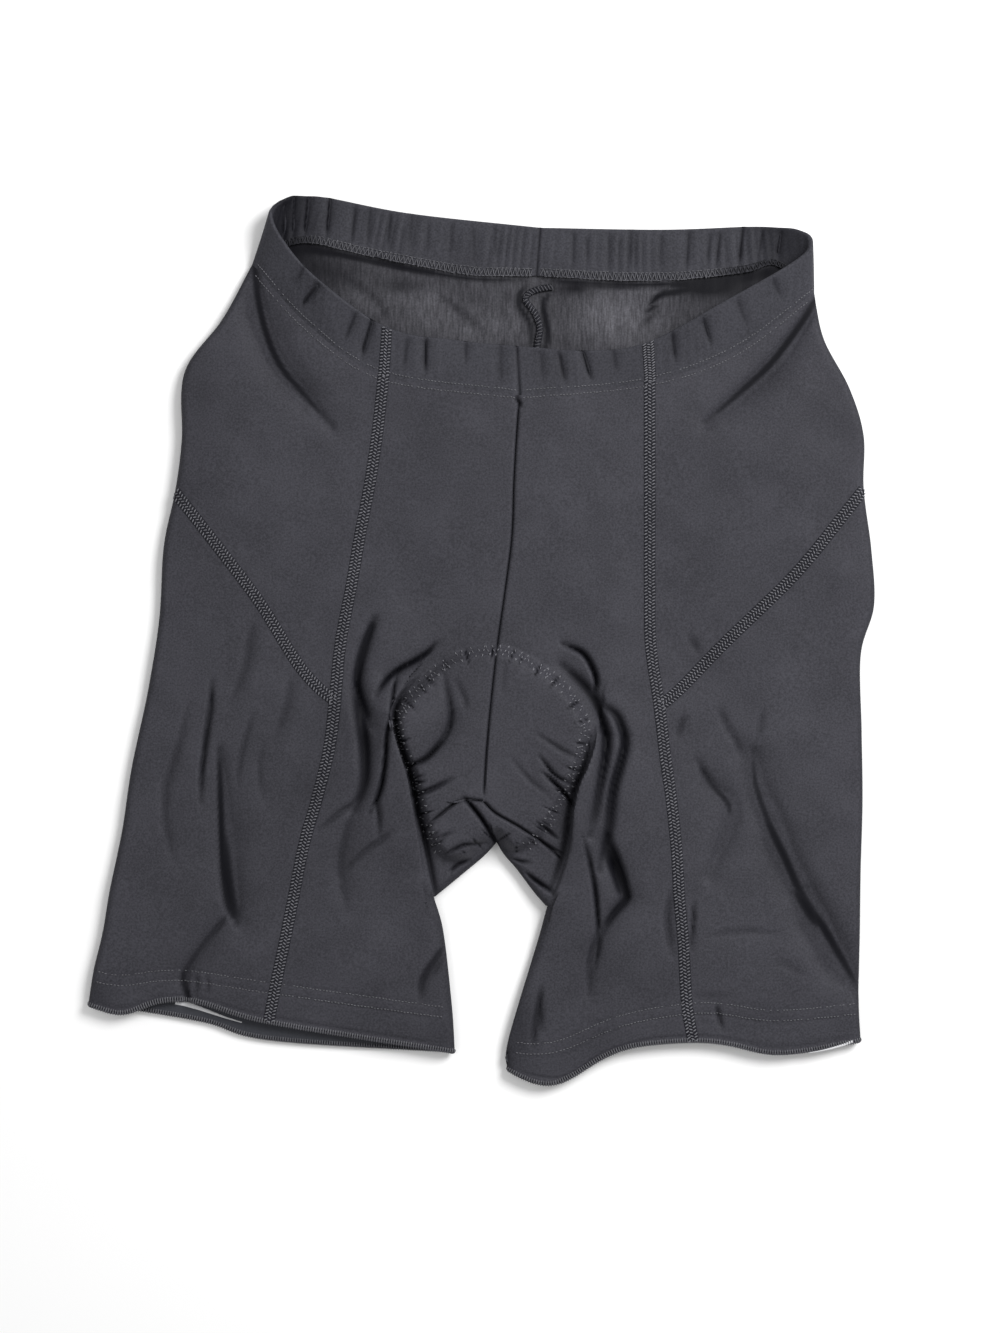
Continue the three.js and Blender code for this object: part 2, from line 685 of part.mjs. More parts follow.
function rimRing(half) {
  const stops = half.rim.map((stop) => [stop.x, stop.y, stop.z]);
  const points = [];
  const steps = 24;
  for (let i = 0; i <= steps * (stops.length - 1); i += 1) {
    const [x, y, z] = along(stops, i / steps);
    points.push([x, y, Math.max(0, z)]);
  }
  return points;
}

function sample(points, from, to, count) {
  const lengths = [0];
  for (let i = from + 1; i <= to; i += 1) {
    const step = Math.hypot(...points[i].map((v, k) => v - points[i - 1][k]));
    lengths.push(lengths[lengths.length - 1] + step);
  }
  const total = lengths[lengths.length - 1];
  const result = [];
  let i = 0;
  for (let n = 0; n <= count; n += 1) {
    const target = (total * n) / count;
    while (i + 2 < lengths.length && lengths[i + 1] < target) {
      i += 1;
    }
    const f = (target - lengths[i]) / (lengths[i + 1] - lengths[i]);
    result.push(mix(points[from + i], points[from + i + 1], Math.max(0, Math.min(1, f))));
  }
  return result;
}

const BAND_COLUMNS = 3 * GATHERS_PER_HALF;
const BAND_ROWS = 3;
const BAND_SHARE = 0.975;

function bandHalf(half) {
  const front = Math.round(BAND_COLUMNS * 0.53);
  const seam = seamRing(half);
  const rim = rimRing(half);
  const rimSide = 24 * half.rim.findIndex((stop) => stop.around === 3);
  const low = sample(seam, 0, 160, front).concat(sample(seam, 160, 320, BAND_COLUMNS - front).slice(1));
  const high = sample(rim, 0, rimSide, front)
    .concat(sample(rim, rimSide, rim.length - 1, BAND_COLUMNS - front).slice(1));
  return low.map((p, k) => ({ low: p, high: high[k] }));
}

function bandSurface() {
  const right = bandHalf(HALVES.right);
  const left = bandHalf(HALVES.left).reverse();
  const ring = right.concat(left.slice(1));
  const rows = [...Array(BAND_ROWS + 1).keys()];
  return weld([gridPatch(rows, ring.length, (row, j) => mix(ring[j].high, ring[j].low, (BAND_SHARE * row) / BAND_ROWS), false)]);
}

// Gathers of the band: a ridge, its slope and a hollow in turn
function gatherLift(k) {
  const aroundCount = 2 * BAND_COLUMNS;
  const place = k % aroundCount;
  const row = Math.floor(k / aroundCount);
  const gather = Math.floor(place / 3);
  const uneven = 0.7 + 0.3 * Math.sin(gather * 2.4);
  return GATHER_DEPTH * uneven * [1, 0.2, -0.1][place % 3] * [0.5, 1, 0.8, 0.3][row];
}

function paddedSeat() {
  const rings = [1, 0.92, 0.7, 0.35];
  const outline = curve(PAD_OUTLINE.concat([PAD_OUTLINE[0]]), 30).slice(0, 30);
  const centre = [6, -55];
  const points = [];
  const faces = [];
  const floor = PANEL_THICKNESS + SEAM_GAP;
  const margin = 0.9;
  const bulge = [0.5, 0.85, 1, 1];
  for (const side of [1, -1]) {
    rings.forEach((ring, r) => {
      for (const edge of outline) {
        const [x, y] = mix(centre, edge, ring * margin);
        const roof = topHeight(x, y) * 0.96 - PANEL_THICKNESS - 2;
        const middle = floor + 0.5 * (roof - floor);
        const reach = 2 * bulge[r] - 1;
        points.push([x, y, middle + (side > 0 ? roof - middle : floor - middle) * reach]);
      }
    });
    const roof = topHeight(...centre) * 0.96 - PANEL_THICKNESS - 2;
    points.push([...centre, side > 0 ? roof : floor]);
  }
  const n = outline.length;
  const layer = n * rings.length + 1;
  for (const side of [0, 1]) {
    const base = side * layer;
    const add = (a, b, c) => faces.push(side ? [a, c, b] : [a, b, c]);
    for (let r = 0; r + 1 < rings.length; r += 1) {
      for (let k = 0; k < n; k += 1) {
        const a = base + r * n + k;
        const b = base + r * n + ((k + 1) % n);
        add(a, a + n, b + n);
        add(a, b + n, b);
      }
    }
    for (let k = 0; k < n; k += 1) {
      const a = base + (rings.length - 1) * n + k;
      const b = base + (rings.length - 1) * n + ((k + 1) % n);
      add(a, base + layer - 1, b);
    }
  }
  const surface = weld([{ points, faces }]);
  const geometry = new THREE.BufferGeometry();
  geometry.setAttribute('position', new THREE.Float32BufferAttribute(surface.points.flat(), 3));
  geometry.setIndex(surface.faces.flat());
  return geometry;
}

const group = new THREE.Group();
group.name = 'cycling_shorts';

function addPiece(name, geometry, colour, roughness) {
  const material = new THREE.MeshStandardMaterial({ color: colour, roughness, metalness: 0 });
  material.name = `${name}_cloth`;
  const mesh = new THREE.Mesh(geometry, material);
  mesh.name = name;
  group.add(mesh);
}

const shell = {};
const normals = new Map();
for (const [side, half] of Object.entries(HALVES)) {
  const flip = side === 'left';
  shell[`front_${side}`] = frontSurface(half, flip);
  shell[`hip_${side}`] = hipSurface(half, flip);
  shell[`thigh_${side}`] = thighSurface(half, flip);
  shell[`back_${side}`] = backSurface(half, flip);
}
for (const surface of Object.values(shell)) {
  addNormals(surface, normals);
}
for (const [name, surface] of Object.entries(shell)) {
  addPiece(name, wall(surface, normals, { depth: 0, thickness: PANEL_THICKNESS }), CHARCOAL, 0.82);
}

for (const [side, half] of Object.entries(HALVES)) {
  const ring = gripperSurface(half, side === 'left');
  const size = { depth: PANEL_THICKNESS + SEAM_GAP, thickness: FACING_THICKNESS };
  addPiece(`gripper_${side}`, wall(ring, normals, size), GRIPPER_COLOUR, 0.6);
}

const band = bandSurface();
const bandNormals = new Map();
addNormals(band, bandNormals);
const bandSize = { depth: 0, thickness: BAND_THICKNESS, relief: gatherLift };
addPiece('waistband', wall(band, bandNormals, bandSize), BAND_COLOUR, 0.85);

addPiece('seat_pad', paddedSeat(), PAD_COLOUR, 0.9);

// The origin is the middle of the outline, at the surface that the shorts lie on
const box = new THREE.Box3().setFromObject(group);
const middle = box.getCenter(new THREE.Vector3());
for (const mesh of group.children) {
  mesh.geometry.translate(-middle.x, -middle.y, -box.min.z);
}

export default group;
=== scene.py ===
"""Padded cycling shorts, laid flat with the front up. Lengths are in millimetres until a mesh is made.

Right and left are the wearer's, so the right half lies at -X.
"""

import math

import bpy
import numpy as np
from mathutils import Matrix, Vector


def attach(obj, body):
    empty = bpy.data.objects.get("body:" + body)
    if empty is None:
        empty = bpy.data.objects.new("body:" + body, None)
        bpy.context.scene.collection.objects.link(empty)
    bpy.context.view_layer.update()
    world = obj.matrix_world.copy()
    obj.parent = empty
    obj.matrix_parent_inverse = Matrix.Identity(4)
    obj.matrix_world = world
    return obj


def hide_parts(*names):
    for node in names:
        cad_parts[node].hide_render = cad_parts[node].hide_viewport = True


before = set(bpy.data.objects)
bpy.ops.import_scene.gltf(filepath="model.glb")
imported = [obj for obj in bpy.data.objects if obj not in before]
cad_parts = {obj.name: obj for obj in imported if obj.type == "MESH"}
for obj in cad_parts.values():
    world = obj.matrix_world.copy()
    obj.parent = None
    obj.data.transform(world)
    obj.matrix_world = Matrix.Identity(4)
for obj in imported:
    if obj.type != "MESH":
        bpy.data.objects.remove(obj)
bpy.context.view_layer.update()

# The middle of the outline, which is the origin of the frame
MIDDLE = (0.394, 0.221)

# Thickness of the shell cloth, of the doubled band and of the gripper, and the gap between layers
PANEL_THICKNESS = 1.1
BAND_THICKNESS = 2.6
FACING_THICKNESS = 0.9
LAYER_GAP = 0.3

# Height of the upper layer over the table, and how far from a fold the cloth is still rounded
FLAT_HEIGHT = 6.6
LEAST_HEIGHT = 4.2
SIDE_REACH = 4.2
INNER_REACH = 5.5

# The seat pad: how far it lifts the cloth, and the width and low end of its edge
PAD_RISE = 7.5
PAD_EDGE = 7
PAD_LOW_END = -112

# Row numbers where the lines of the garment meet. The hem's own shape starts at HEM_START.
BAND_ROW, SLANT_ROW, FORK_ROW, INNER_ROW, STITCH_ROW, HEM_ROW = 1, 7, 9, 11, 13, 14
HEM_START = 12

# How far the front panel wraps round the inner leg
WRAP_AT_FORK = 2.5
WRAP_AT_HEM = 14

# Painted shade of a crease, which stands in for the shadow in it: half width of its dark core, the shares
# of its soft part and its core, and the depth that goes fully dark
SHADE_REACH = 1.9
SOFT_SHARE = 0.35
CORE_SHARE = 0.65
FULL_DEPTH = 4

# A fold fades out at this many half widths from its line, and over this share of its length at an end
FADE_WIDTHS = 2.6
END_FADE = 0.04

# Stitches pucker the cloth round the pad: how many puckers, and how deep they and their row are
PUCKERS = 61
PUCKER_DEPTH = 1.5
PAD_ROW_DEPTH = 0.5


def table(columns, rows):
    """A list of dictionaries: the columns are named once, and each row gives their values."""
    return [dict(zip(columns.split(), row)) for row in rows]


def fold(where, height, west, east, path, **more):
    """A fold: its height, its half widths to the west and to the east of its line, and the line.

    More may be lean, how far the crest leans over, reach, the half width of its core of painted shade, soft,
    for a painted shade without a core, and even, for a fold that keeps its depth to its ends.
    """
    return dict(where=where, height=height, west=west, east=east, path=path, **more)


# Sections from the band seam to the hem: princess seam, mid way and side fold of each half
SECTIONS = table("at right_seam right_mid right_side left_seam left_mid left_side", [
    ("band seam", (-51, 139), (-89.5, 164.5), (-120.5, 198), (89, 136), (134, 152), (176, 183)),
    ("upper belly", (-54, 110.5), (-105.5, 134), (-136, 169), (89, 109), (141, 123.5), (181, 158.5)),
    ("belly", (-58, 83), (-108, 105), (-156, 141), (89, 82), (149.5, 97), (194.5, 132.5)),
    ("upper hip", (-63.5, 54), (-112, 71), (-157.5, 105), (89, 54), (155, 67), (202, 107.5)),
    ("lower belly", (-68, 27.5), (-117, 42), (-161, 78), (89, 27), (156.5, 38), (202, 79.5)),
    ("hip", (-73.5, -1.5), (-121.5, 10.5), (-167, 49.5), (89.5, -3), (157, 7.5), (206, 48)),
    ("thigh top", (-77, -32), (-125, -26.5), (-169.5, 10.5), (94, -35), (156.5, -26.5), (207.5, 18)),
    ("above fork", (-80, -59), (-128.5, -57), (-175.5, -27.5), (97, -61), (155.5, -58), (200.5, -8)),
    ("fork", (-86, -84.5), (-134, -87), (-184, -67.5), (100.5, -86), (154.5, -87.5), (201, -47.5)),
    ("inseam", (-92.5, -107), (-139.5, -111), (-189, -100.5), (103, -111), (155.5, -114), (201.5, -84.5)),
    ("inner fold", (-98.5, -137), (-146, -139.5), (-195.5, -132), (104.5, -136), (157.5, -139.5),
     (200.5, -121.5)),
    ("inner leg", (-102.5, -157), (-149.5, -157), (-199.5, -155.5), (106.5, -158), (159, -161),
     (200, -155.5)),
    ("hem stitch", (-107.5, -181), (-153, -174.5), (-204, -173), (108.5, -191.5), (154.5, -195),
     (199.5, -191.5)),
    ("hem", (-111.5, -202), (-154.5, -190.5), (-207, -191.5), (112, -212), (156.5, -218.5), (200.5, -212)),
])

CENTRE_FRONT = [(20.5, 128.5), (19, 109), (17.5, 83), (16.5, 55), (13, 27), (9, -1.5),
                (5.5, -32), (3, -59), (1.5, -84.5)]
CENTRE_BACK = [(29.5, 192), (29, 168), (27.5, 131.5), (25.5, 94.5), (23, 55), (19.5, 15.5),
               (16, -26.5), (12.5, -66), (8.5, -107)]

# Rim of the waistband: position around (0 centre front, 3 side, 6 centre back), x, y, z
RIGHT_RIM = [(0, 19, 154.5, 7.2), (0.5, -12.5, 157.5, 7.6), (1, -49, 164, 9), (2, -85, 188.5, 13),
             (2.6, -103.5, 208.5, 15), (3, -110.5, 224.5, 13), (3.4, -102, 233, 6),
             (3.7, -92, 234, 2), (4, -79, 233, 0.3), (5, -37, 225, 0), (6, 31.5, 217.5, 0)]
LEFT_RIM = [(0, 19, 154.5, 7.2), (0.5, 58.5, 152, 7.6), (1, 88.5, 156.5, 9), (2, 129.5, 178, 12),
            (2.6, 167, 199.5, 13), (3, 174.5, 210.5, 10), (3.4, 167.5, 216, 5),
            (3.7, 157, 217.5, 1.6), (4, 140.5, 218, 0.2), (5, 95.5, 216.5, 0), (6, 31.5, 217.5, 0)]

HALVES = {
    "right": dict(
        name="right",
        inseam=[(1.5, -84.5), (-10.5, -84.5), (-21.5, -92), (-30.5, -101), (-29.5, -118), (-24.5, -136)],
        arch=[(8.5, -107), (2, -114), (-7.5, -122), (-16, -129), (-24.5, -136)],
        inner_leg=[(-24.5, -136), (-19.5, -154.5), (-15, -194), (-13.5, -218)],
        back_band=[(-120.5, 198), (-95, 209.5), (-63, 203.5), (-33.5, 197.5), (-4, 192.5), (29.5, 192)],
        back_hem=[(-207, -191.5), (-147.5, -201.5), (-111, -211.5), (-13.5, -218)],
        slant=[SLANT_ROW, 5.57, 5],
        hem_dip=(-189, 6.5, 15),
        rim=RIGHT_RIM,
    ),
    "left": dict(
        name="left",
        inseam=[(1.5, -84.5), (8, -91), (21, -98.5), (34, -107.5), (43, -116), (40.5, -129), (35, -141)],
        arch=[(8.5, -107), (12.5, -113.5), (19, -121), (28, -133), (35, -141)],
        inner_leg=[(35, -141), (29, -162.5), (14.5, -207.5), (14, -219)],
        back_band=[(176, 183), (156, 197.5), (140.5, 194), (110.5, 190.5), (81, 189.5), (29.5, 192)],
        back_hem=[(200.5, -212), (152.5, -213), (106.5, -208.5), (14, -219)],
        slant=[SLANT_ROW, 5.42, 5],
        hem_dip=(37, 17, 26),
        rim=LEFT_RIM,
    ),
}

PAD_OUTLINE = [(-34, -72.5), (-42.5, -52), (-42.5, -39.5), (-33, -27), (-18.5, -13), (-4, -7), (12.5, -6),
               (29, -14), (41.5, -23), (52.5, -38), (54.5, -50), (49, -70), (41.5, -84), (35.5, -95.5),
               (27, -106), (17, -110), (8.5, -101), (0, -107), (-9, -114), (-20, -112), (-29, -96)]

# Broad mounds: half width along X and along Y, and height in the middle
MOUNDS = table("where x y wide long amount", [
    ("right inner thigh", -60, -75, 36, 62, 5.5),
    ("left inner thigh", 72, -82, 34, 60, 5.5),
    ("right hip", -125, 95, 40, 70, 2.5),
    ("left hip", 165, 75, 40, 70, 2.5),
    ("belly", 20, 60, 70, 60, 1.5),
    ("right knee", -120, -160, 60, 50, 1.5),
    ("left knee", 110, -165, 60, 50, 1.8),
])

# Folds that the solids have too; the sunken ones also get a soft painted shade
FOLDS = [
    fold("right leg roll", 7.5, 24, 3, [(-42, -24), (-49, -32), (-51.7, -40.3), (-48.5, -55),
         (-43.3, -71.8), (-40.1, -86.6), (-35.9, -105.5), (-31.7, -126.6)], lean=4.6),
    fold("left leg roll", 7.5, 3, 20, [(63.8, -47), (62.7, -59), (59.6, -70), (56.9, -76.6), (53.8, -89),
         (52.2, -103.4), (49, -115.5), (42.2, -133)], lean=4.6),
    fold("right thigh trough", -3, 9, 12, [(-137.5, -68), (-135, -87), (-132.5, -108), (-131, -129),
         (-127, -146.5)]),
    fold("right hem trough", -2.6, 9, 8, [(-131, -139.5), (-139, -152), (-146, -162.5), (-155, -174.5),
         (-156, -185)]),
    fold("left thigh diagonal", -3.4, 11, 9, [(143, -63), (144.5, -77), (152, -94.5), (156.5, -113.5),
         (164, -125.5), (174.5, -143.5), (181.5, -157), (189.5, -171.5), (198.5, -183.5)]),
    fold("left thigh hollow", -2.6, 8, 10, [(115, -66.5), (122, -77), (131, -87), (129.5, -101.5),
         (122, -122.5)]),
    fold("right waist fold", -3, 10, 9, [(-118.5, 190.5), (-115, 175.5), (-107.5, 156), (-98.5, 139.5),
         (-86.5, 125), (-76.5, 115)]),
    fold("left waist fold", -3, 9, 10, [(171, 168), (162.5, 153.5), (150.5, 139.5), (135.5, 126.5),
         (121, 115)]),
    fold("right groin crease", -2.4, 7, 8, [(-58, 6), (-61.5, -3), (-65, -15), (-66, -24), (-63, -38),
         (-59, -44), (-60.5, -60.5), (-61.5, -73.5), (-66.5, -87.5)]),
    fold("right pad tuck", -2, 6, 7, [(-25, -4), (-31, -9.5), (-39, -14), (-47, -16), (-52, -21),
         (-56.5, -27)]),
    fold("left groin crease", -2.6, 7, 7, [(43, -14), (51, -21), (59, -33), (65, -46), (67.5, -60.5),
         (66, -77), (64, -95.5), (61, -114.5)]),
    fold("left inner thigh crease", -2.2, 7, 8, [(68, -108.5), (72.5, -123.5), (76, -134), (75, -139.5),
         (64.5, -154), (59, -169), (57, -185)]),
    fold("pad hollow", -1.8, 8, 7, [(-19.5, -16), (-15, -38), (-18, -49), (-25, -58), (-35, -65)]),
]

# Fine creases, which the solids leave out, each darkened by painted shade
CREASES = [
    fold("centre front seam", -2.1, 0.6, 0.6, CENTRE_FRONT, even=True),
    fold("centre front stub", -2.4, 1, 1.1, [(19.5, 128.5), (19, 126.5), (20.5, 124.5), (21, 122.5)]),
    fold("right groin, upper", -4.8, 2.2, 3.2, [(-56, 11), (-58, 6), (-61.5, -3), (-65, -15), (-66, -24),
         (-63.5, -36), (-61, -46)], reach=2.8),
    fold("right groin, lower", -4.8, 3.6, 2.8, [(-67, -26), (-66, -34), (-65, -43), (-63.5, -53),
         (-62.5, -63), (-62.5, -76), (-67, -90)], reach=3.2),
    fold("right groin, inner", -4, 1.2, 1.5, [(-44.5, -16), (-48.2, -30), (-52.9, -49.7), (-53.6, -64.9),
         (-55.2, -79.7), (-59.5, -91)]),
    fold("right groin, branch", -2.4, 1.2, 1.5, [(-54, -72), (-56.5, -84), (-55.2, -94), (-54.5, -104)]),
    fold("right pad tuck", -4.4, 1.3, 2.2, [(-24, -2), (-28, -6), (-34, -9.7), (-44.5, -15), (-51.8, -21.3),
         (-57.1, -27.6)]),
    fold("right pad edge", -2, 1.3, 1.6, [(-33, -20), (-39.2, -25.5), (-43.5, -31.5), (-46, -38)]),
    fold("left groin, short", -4.6, 1.5, 1.9, [(43, -2.4), (53.4, -7.1), (58.7, -15), (60.8, -22.4),
         (59.2, -29.7)]),
    fold("left groin", -4.6, 2.8, 2.6, [(42.9, -14), (52.4, -22.4), (60.8, -32.9), (67.1, -48.7),
         (68.2, -61.3), (65, -82.4), (60.8, -103.4)], reach=2.6),
    fold("left groin, outer", -4.6, 2.6, 2.8, [(63.9, -33.9), (72.4, -40.3), (76.6, -52.9), (75.5, -63.4),
         (71.3, -80.3), (68.2, -103.4), (63.9, -121.3)], reach=2.6),
    fold("left inner thigh", -5, 3.4, 2, [(68.2, -103.4), (72.4, -116), (76.6, -131.8), (76.6, -137.1),
         (70, -145), (64, -154)], reach=2.6),
    fold("left inner thigh, blot", -4.2, 4, 3.4, [(67, -108), (70, -117), (73, -126), (75, -136)],
         reach=3.6),
    fold("left inner thigh, lower", -2.2, 2.2, 3, [(66, -150), (60, -160), (57.5, -172), (57, -187)]),
    fold("left inner thigh, short", -3.2, 1.3, 1.6, [(57.5, -104), (59.7, -121.4), (61.3, -140.6),
         (62.1, -159.7), (60, -172)]),
    fold("right roll foot", -3.6, 1.2, 2.8, [(-40, -29), (-43.6, -33), (-45.4, -40.3), (-42.2, -55),
         (-37, -71.8), (-33.8, -86.6), (-29.6, -105.5), (-25.4, -126.6), (-22, -142)], reach=2.4),
    fold("left roll foot", -3.2, 2.6, 1.2, [(57.5, -50), (56.4, -59.2), (53.3, -70.3), (50.6, -76.6),
         (47.5, -89.2), (45.9, -103.4), (42.7, -115.5), (36.5, -131)]),
    fold("right thigh streak", -3.2, 1.3, 2.2, [(-141.6, -22), (-142.4, -34.8), (-144.6, -49.9),
         (-146.9, -69.4), (-147.6, -86)]),
    fold("right hip streak", -1.6, 3.5, 4.5, [(-119, 8.5), (-121.3, -0.3), (-124.3, -16.8), (-131.8, -34)]),
    fold("right hip hollow", -1.4, 4, 5, [(-99, -20), (-101.8, -34.8), (-108, -53)]),
    fold("right side streak", -1.5, 2.5, 3.5, [(-153.6, -35), (-157.4, -49.9), (-161.9, -64.9),
         (-166.1, -78.5), (-166, -97), (-161.5, -116)]),
    fold("right mid streak", -1.4, 1.8, 2.6, [(-120.5, -40), (-125.8, -58.9), (-128.8, -76)]),
    fold("right mid streak, short", -0.9, 2, 2.5, [(-114.5, -56), (-117, -70), (-114.5, -84)]),
    fold("right thigh trough", -4.6, 1.4, 4, [(-138.2, -58), (-137.8, -72), (-137.4, -90), (-136.8, -108),
         (-136, -124), (-134, -139), (-131.5, -147)], reach=2.6),
    fold("right thigh trough, foot", -4.2, 2.4, 6, [(-136.5, -98), (-135.6, -113), (-134, -128),
         (-131.5, -141), (-129, -149)], reach=4.2),
    fold("right hem trough", -2.8, 1.8, 2, [(-133, -145), (-137.8, -150.6), (-145.4, -159.7),
         (-152.9, -170.2), (-155.9, -177.7), (-155, -192)]),
    fold("right hem pinch", -3.4, 2.6, 1.6, [(-153, -170), (-156.5, -178), (-154.5, -187), (-153, -194)]),
    fold("right thigh, soft", -1.8, 5, 6, [(-65.7, -86), (-71.7, -105.5), (-73.2, -123.4), (-69, -142)]),
    fold("right thigh, slanted 1", -1.8, 2.4, 3, [(-49, -101), (-54, -106), (-61.5, -111.5), (-74, -124)]),
    fold("right thigh, slanted 2", -1.8, 2, 2.6, [(-62.5, -82), (-68, -87), (-74, -91), (-85, -100)]),
    fold("right inner hem", -3, 2.2, 3.2, [(-19, -161), (-25, -170), (-30.5, -179), (-32, -188)]),
    fold("right hem tick 1", -1.2, 1.3, 1.6, [(-150, -176), (-149.5, -182), (-150.5, -188)]),
    fold("right hem tick 2", -1, 1.3, 1.6, [(-144.5, -175), (-143.5, -182), (-144.5, -187)]),
    fold("left thigh, upper", -3.2, 1.6, 2.4, [(114, -64), (121, -76), (130, -86), (131, -93)]),
    fold("left thigh, upper, foot", -2.8, 3, 4, [(128, -82), (131, -91), (128.5, -104), (120, -125)],
         soft=True),
    fold("left thigh diagonal", -3.6, 1.8, 3, [(143.5, -58), (145, -76.8), (152.2, -97.5), (160.2, -115),
         (168.2, -132.6), (177.7, -147), (185.5, -161.3), (200, -186)]),
    fold("left thigh diagonal, dark", -5, 2.4, 3.4, [(149, -90), (153.5, -101), (160.2, -115),
         (168.2, -132.6), (176, -143)], reach=2.6),
    fold("left thigh diagonal, soft", -2.6, 6, 9, [(136, -60), (144, -76), (151, -93), (158.5, -110),
         (167, -128), (177, -146), (188, -166), (199, -184)], soft=True),
    fold("left thigh diagonal, low shade", -3, 9, 3, [(166, -138), (175, -154), (185, -170), (195, -184)],
         soft=True),
    fold("left thigh diagonal, low", -4, 4, 2.6, [(171, -141), (178.5, -148), (186.5, -161.3),
         (199.5, -184)], reach=2.4),
    fold("left seam shade 1", -1.8, 2, 3, [(99.8, -133), (98, -148), (100.5, -166)]),
    fold("left seam shade 2", -2, 1.2, 1.6, [(112, -138), (111.5, -149), (110.5, -163)]),
    fold("left hem tick", -2, 1.5, 1.8, [(124, -192), (125, -198), (127, -205)]),
    fold("left inner hem shade", -2.6, 2.2, 1.6, [(32, -184), (30.9, -191.6), (29, -203), (27.6, -213)]),
    fold("left thigh star", -2.4, 1.2, 1.4, [(161.5, -124.5), (167, -129), (174.5, -131)]),
    fold("left thigh star, short", -2.2, 1.2, 1.4, [(162, -134.5), (166.5, -130), (168.5, -122)]),
    fold("left hip tick 1", -1.8, 1.6, 2.2, [(107, -40), (105, -46), (103.5, -51.5)]),
    fold("left hip tick 2", -1.6, 1.6, 2.2, [(110, 2.5), (112, -3), (114.5, -6.5)]),
    fold("left hip tick 3", -1.8, 1.6, 2.2, [(143.5, -64.5), (144, -70), (144.5, -76)]),
    fold("left hip tick 4", -1.5, 1.8, 2.6, [(125.5, -37), (128.5, -44), (131, -51)]),
    fold("left hip tick 5", -1.5, 1.8, 2.6, [(131.5, -49), (135, -55), (137, -61)]),
    fold("left hip tick 6", -1.1, 2, 2.4, [(148.5, -38), (147, -45), (145.5, -53)]),
    fold("left thigh diagonal, blot", -4.4, 3.4, 4.6, [(165, -130), (170, -138), (175, -146), (180, -152)],
         reach=3.8),
    fold("left knee line 1", -0.9, 2.4, 2.4, [(120, -155.5), (138, -154), (156.5, -154.5)]),
    fold("left knee line 2", -0.9, 2.4, 2.4, [(156.5, -169), (164, -173), (171, -176.5)]),
    fold("left knee line 3", -0.9, 2.4, 2.4, [(111.5, -187), (121, -188), (131, -187)]),
    fold("left hem mark", -1.6, 2, 2, [(31.5, -194), (31.5, -200), (32, -206)]),
    fold("right knee shade", -1.4, 3, 3, [(-18.5, -164), (-22, -171), (-26, -178)]),
    fold("right waist crease", -4.6, 4.2, 2.6, [(-119, 202), (-118.8, 194.5), (-116.5, 176.6), (-112, 159),
         (-104.8, 143.5), (-93.5, 130), (-78, 112)]),
    fold("right waist shade", -3, 10, 3, [(-123, 192), (-121, 174), (-115.5, 156), (-106, 140), (-94, 125)],
         soft=True),
    fold("left waist crease", -4.2, 2.6, 4.2, [(177, 181), (174.5, 175.5), (167, 164), (152.4, 145),
         (136.6, 130.3), (118, 114)]),
    fold("fork fold", -4, 1.5, 1.3, [(-8.5, -83), (-6.6, -84.8), (0.8, -94), (7.6, -105.5), (9, -108)]),
    fold("right inseam", -2.6, 0.7, 0.75, [(1.5, -84.5), (-10.5, -84.5), (-21.5, -92), (-30.5, -101)],
         even=True),
    fold("left inseam", -2.6, 0.7, 0.75, [(1.5, -84.5), (8, -91), (21, -98.5), (34, -107.5), (43, -116)],
         even=True),
    fold("pad crease 1", -2.8, 2.2, 1.8, [(-19.2, -18), (-16.1, -34), (-15.5, -42.4), (-19.2, -51.8),
         (-28.7, -62.4), (-36, -65.5)]),
    fold("pad crease 1, end", -3.4, 1.4, 1.4, [(-21, -54.5), (-28.7, -62.4), (-37, -66)]),
    fold("pad crease 2", -1.3, 1.8, 1.8, [(-12.9, -21.3), (-8.7, -30.8), (-7.6, -37)]),
    fold("pad crease 3", -0.7, 1.6, 1.6, [(13.4, -10.8), (11.8, -21.3), (11.8, -28)]),
    fold("pad crease 4", -3.2, 1.5, 1.8, [(-36, -82), (-31, -80.3), (-25, -78), (-15, -73)]),
    fold("pad crease 5", -1.6, 1.4, 1.4, [(29, -49), (42.9, -58.2), (52, -62.4)]),
    fold("pad crease 6", -2.8, 1.2, 1.2, [(31, -61), (38.7, -70.8), (48, -76)]),
    fold("pad crease 7", -3.8, 1.3, 1.3, [(33, -70), (42.9, -79.2), (50, -89)]),
    fold("pad crease 8", -1.1, 1.6, 1.6, [(16, -62), (26, -73.9), (35, -81)]),
    fold("gusset tuck 1", -3, 1.2, 1.2, [(-18.5, -112.5), (-12, -109), (-7.6, -107.6), (2.9, -107)]),
    fold("gusset tuck 2", -2, 1.1, 1.1, [(-25, -105), (-20, -103), (-14, -100.5)]),
    fold("gusset tuck 3", -3, 1.2, 1.2, [(-16, -122), (-12, -118.5), (-6, -116)]),
    fold("gusset tuck 4", -2.8, 1.2, 1.2, [(30, -96), (34.5, -99.5), (40, -104.5)]),
    fold("gusset tuck 5", -2.2, 1.1, 1.1, [(31, -106), (38, -110), (45, -113.5)]),
    fold("gusset tuck 6", -3.4, 1.4, 1.4, [(24, -123), (30, -127.5), (38, -133)]),
    fold("gusset tuck 7", -2.2, 1.1, 1.1, [(16.5, -115.5), (21, -116.8), (26, -117.2)]),
]
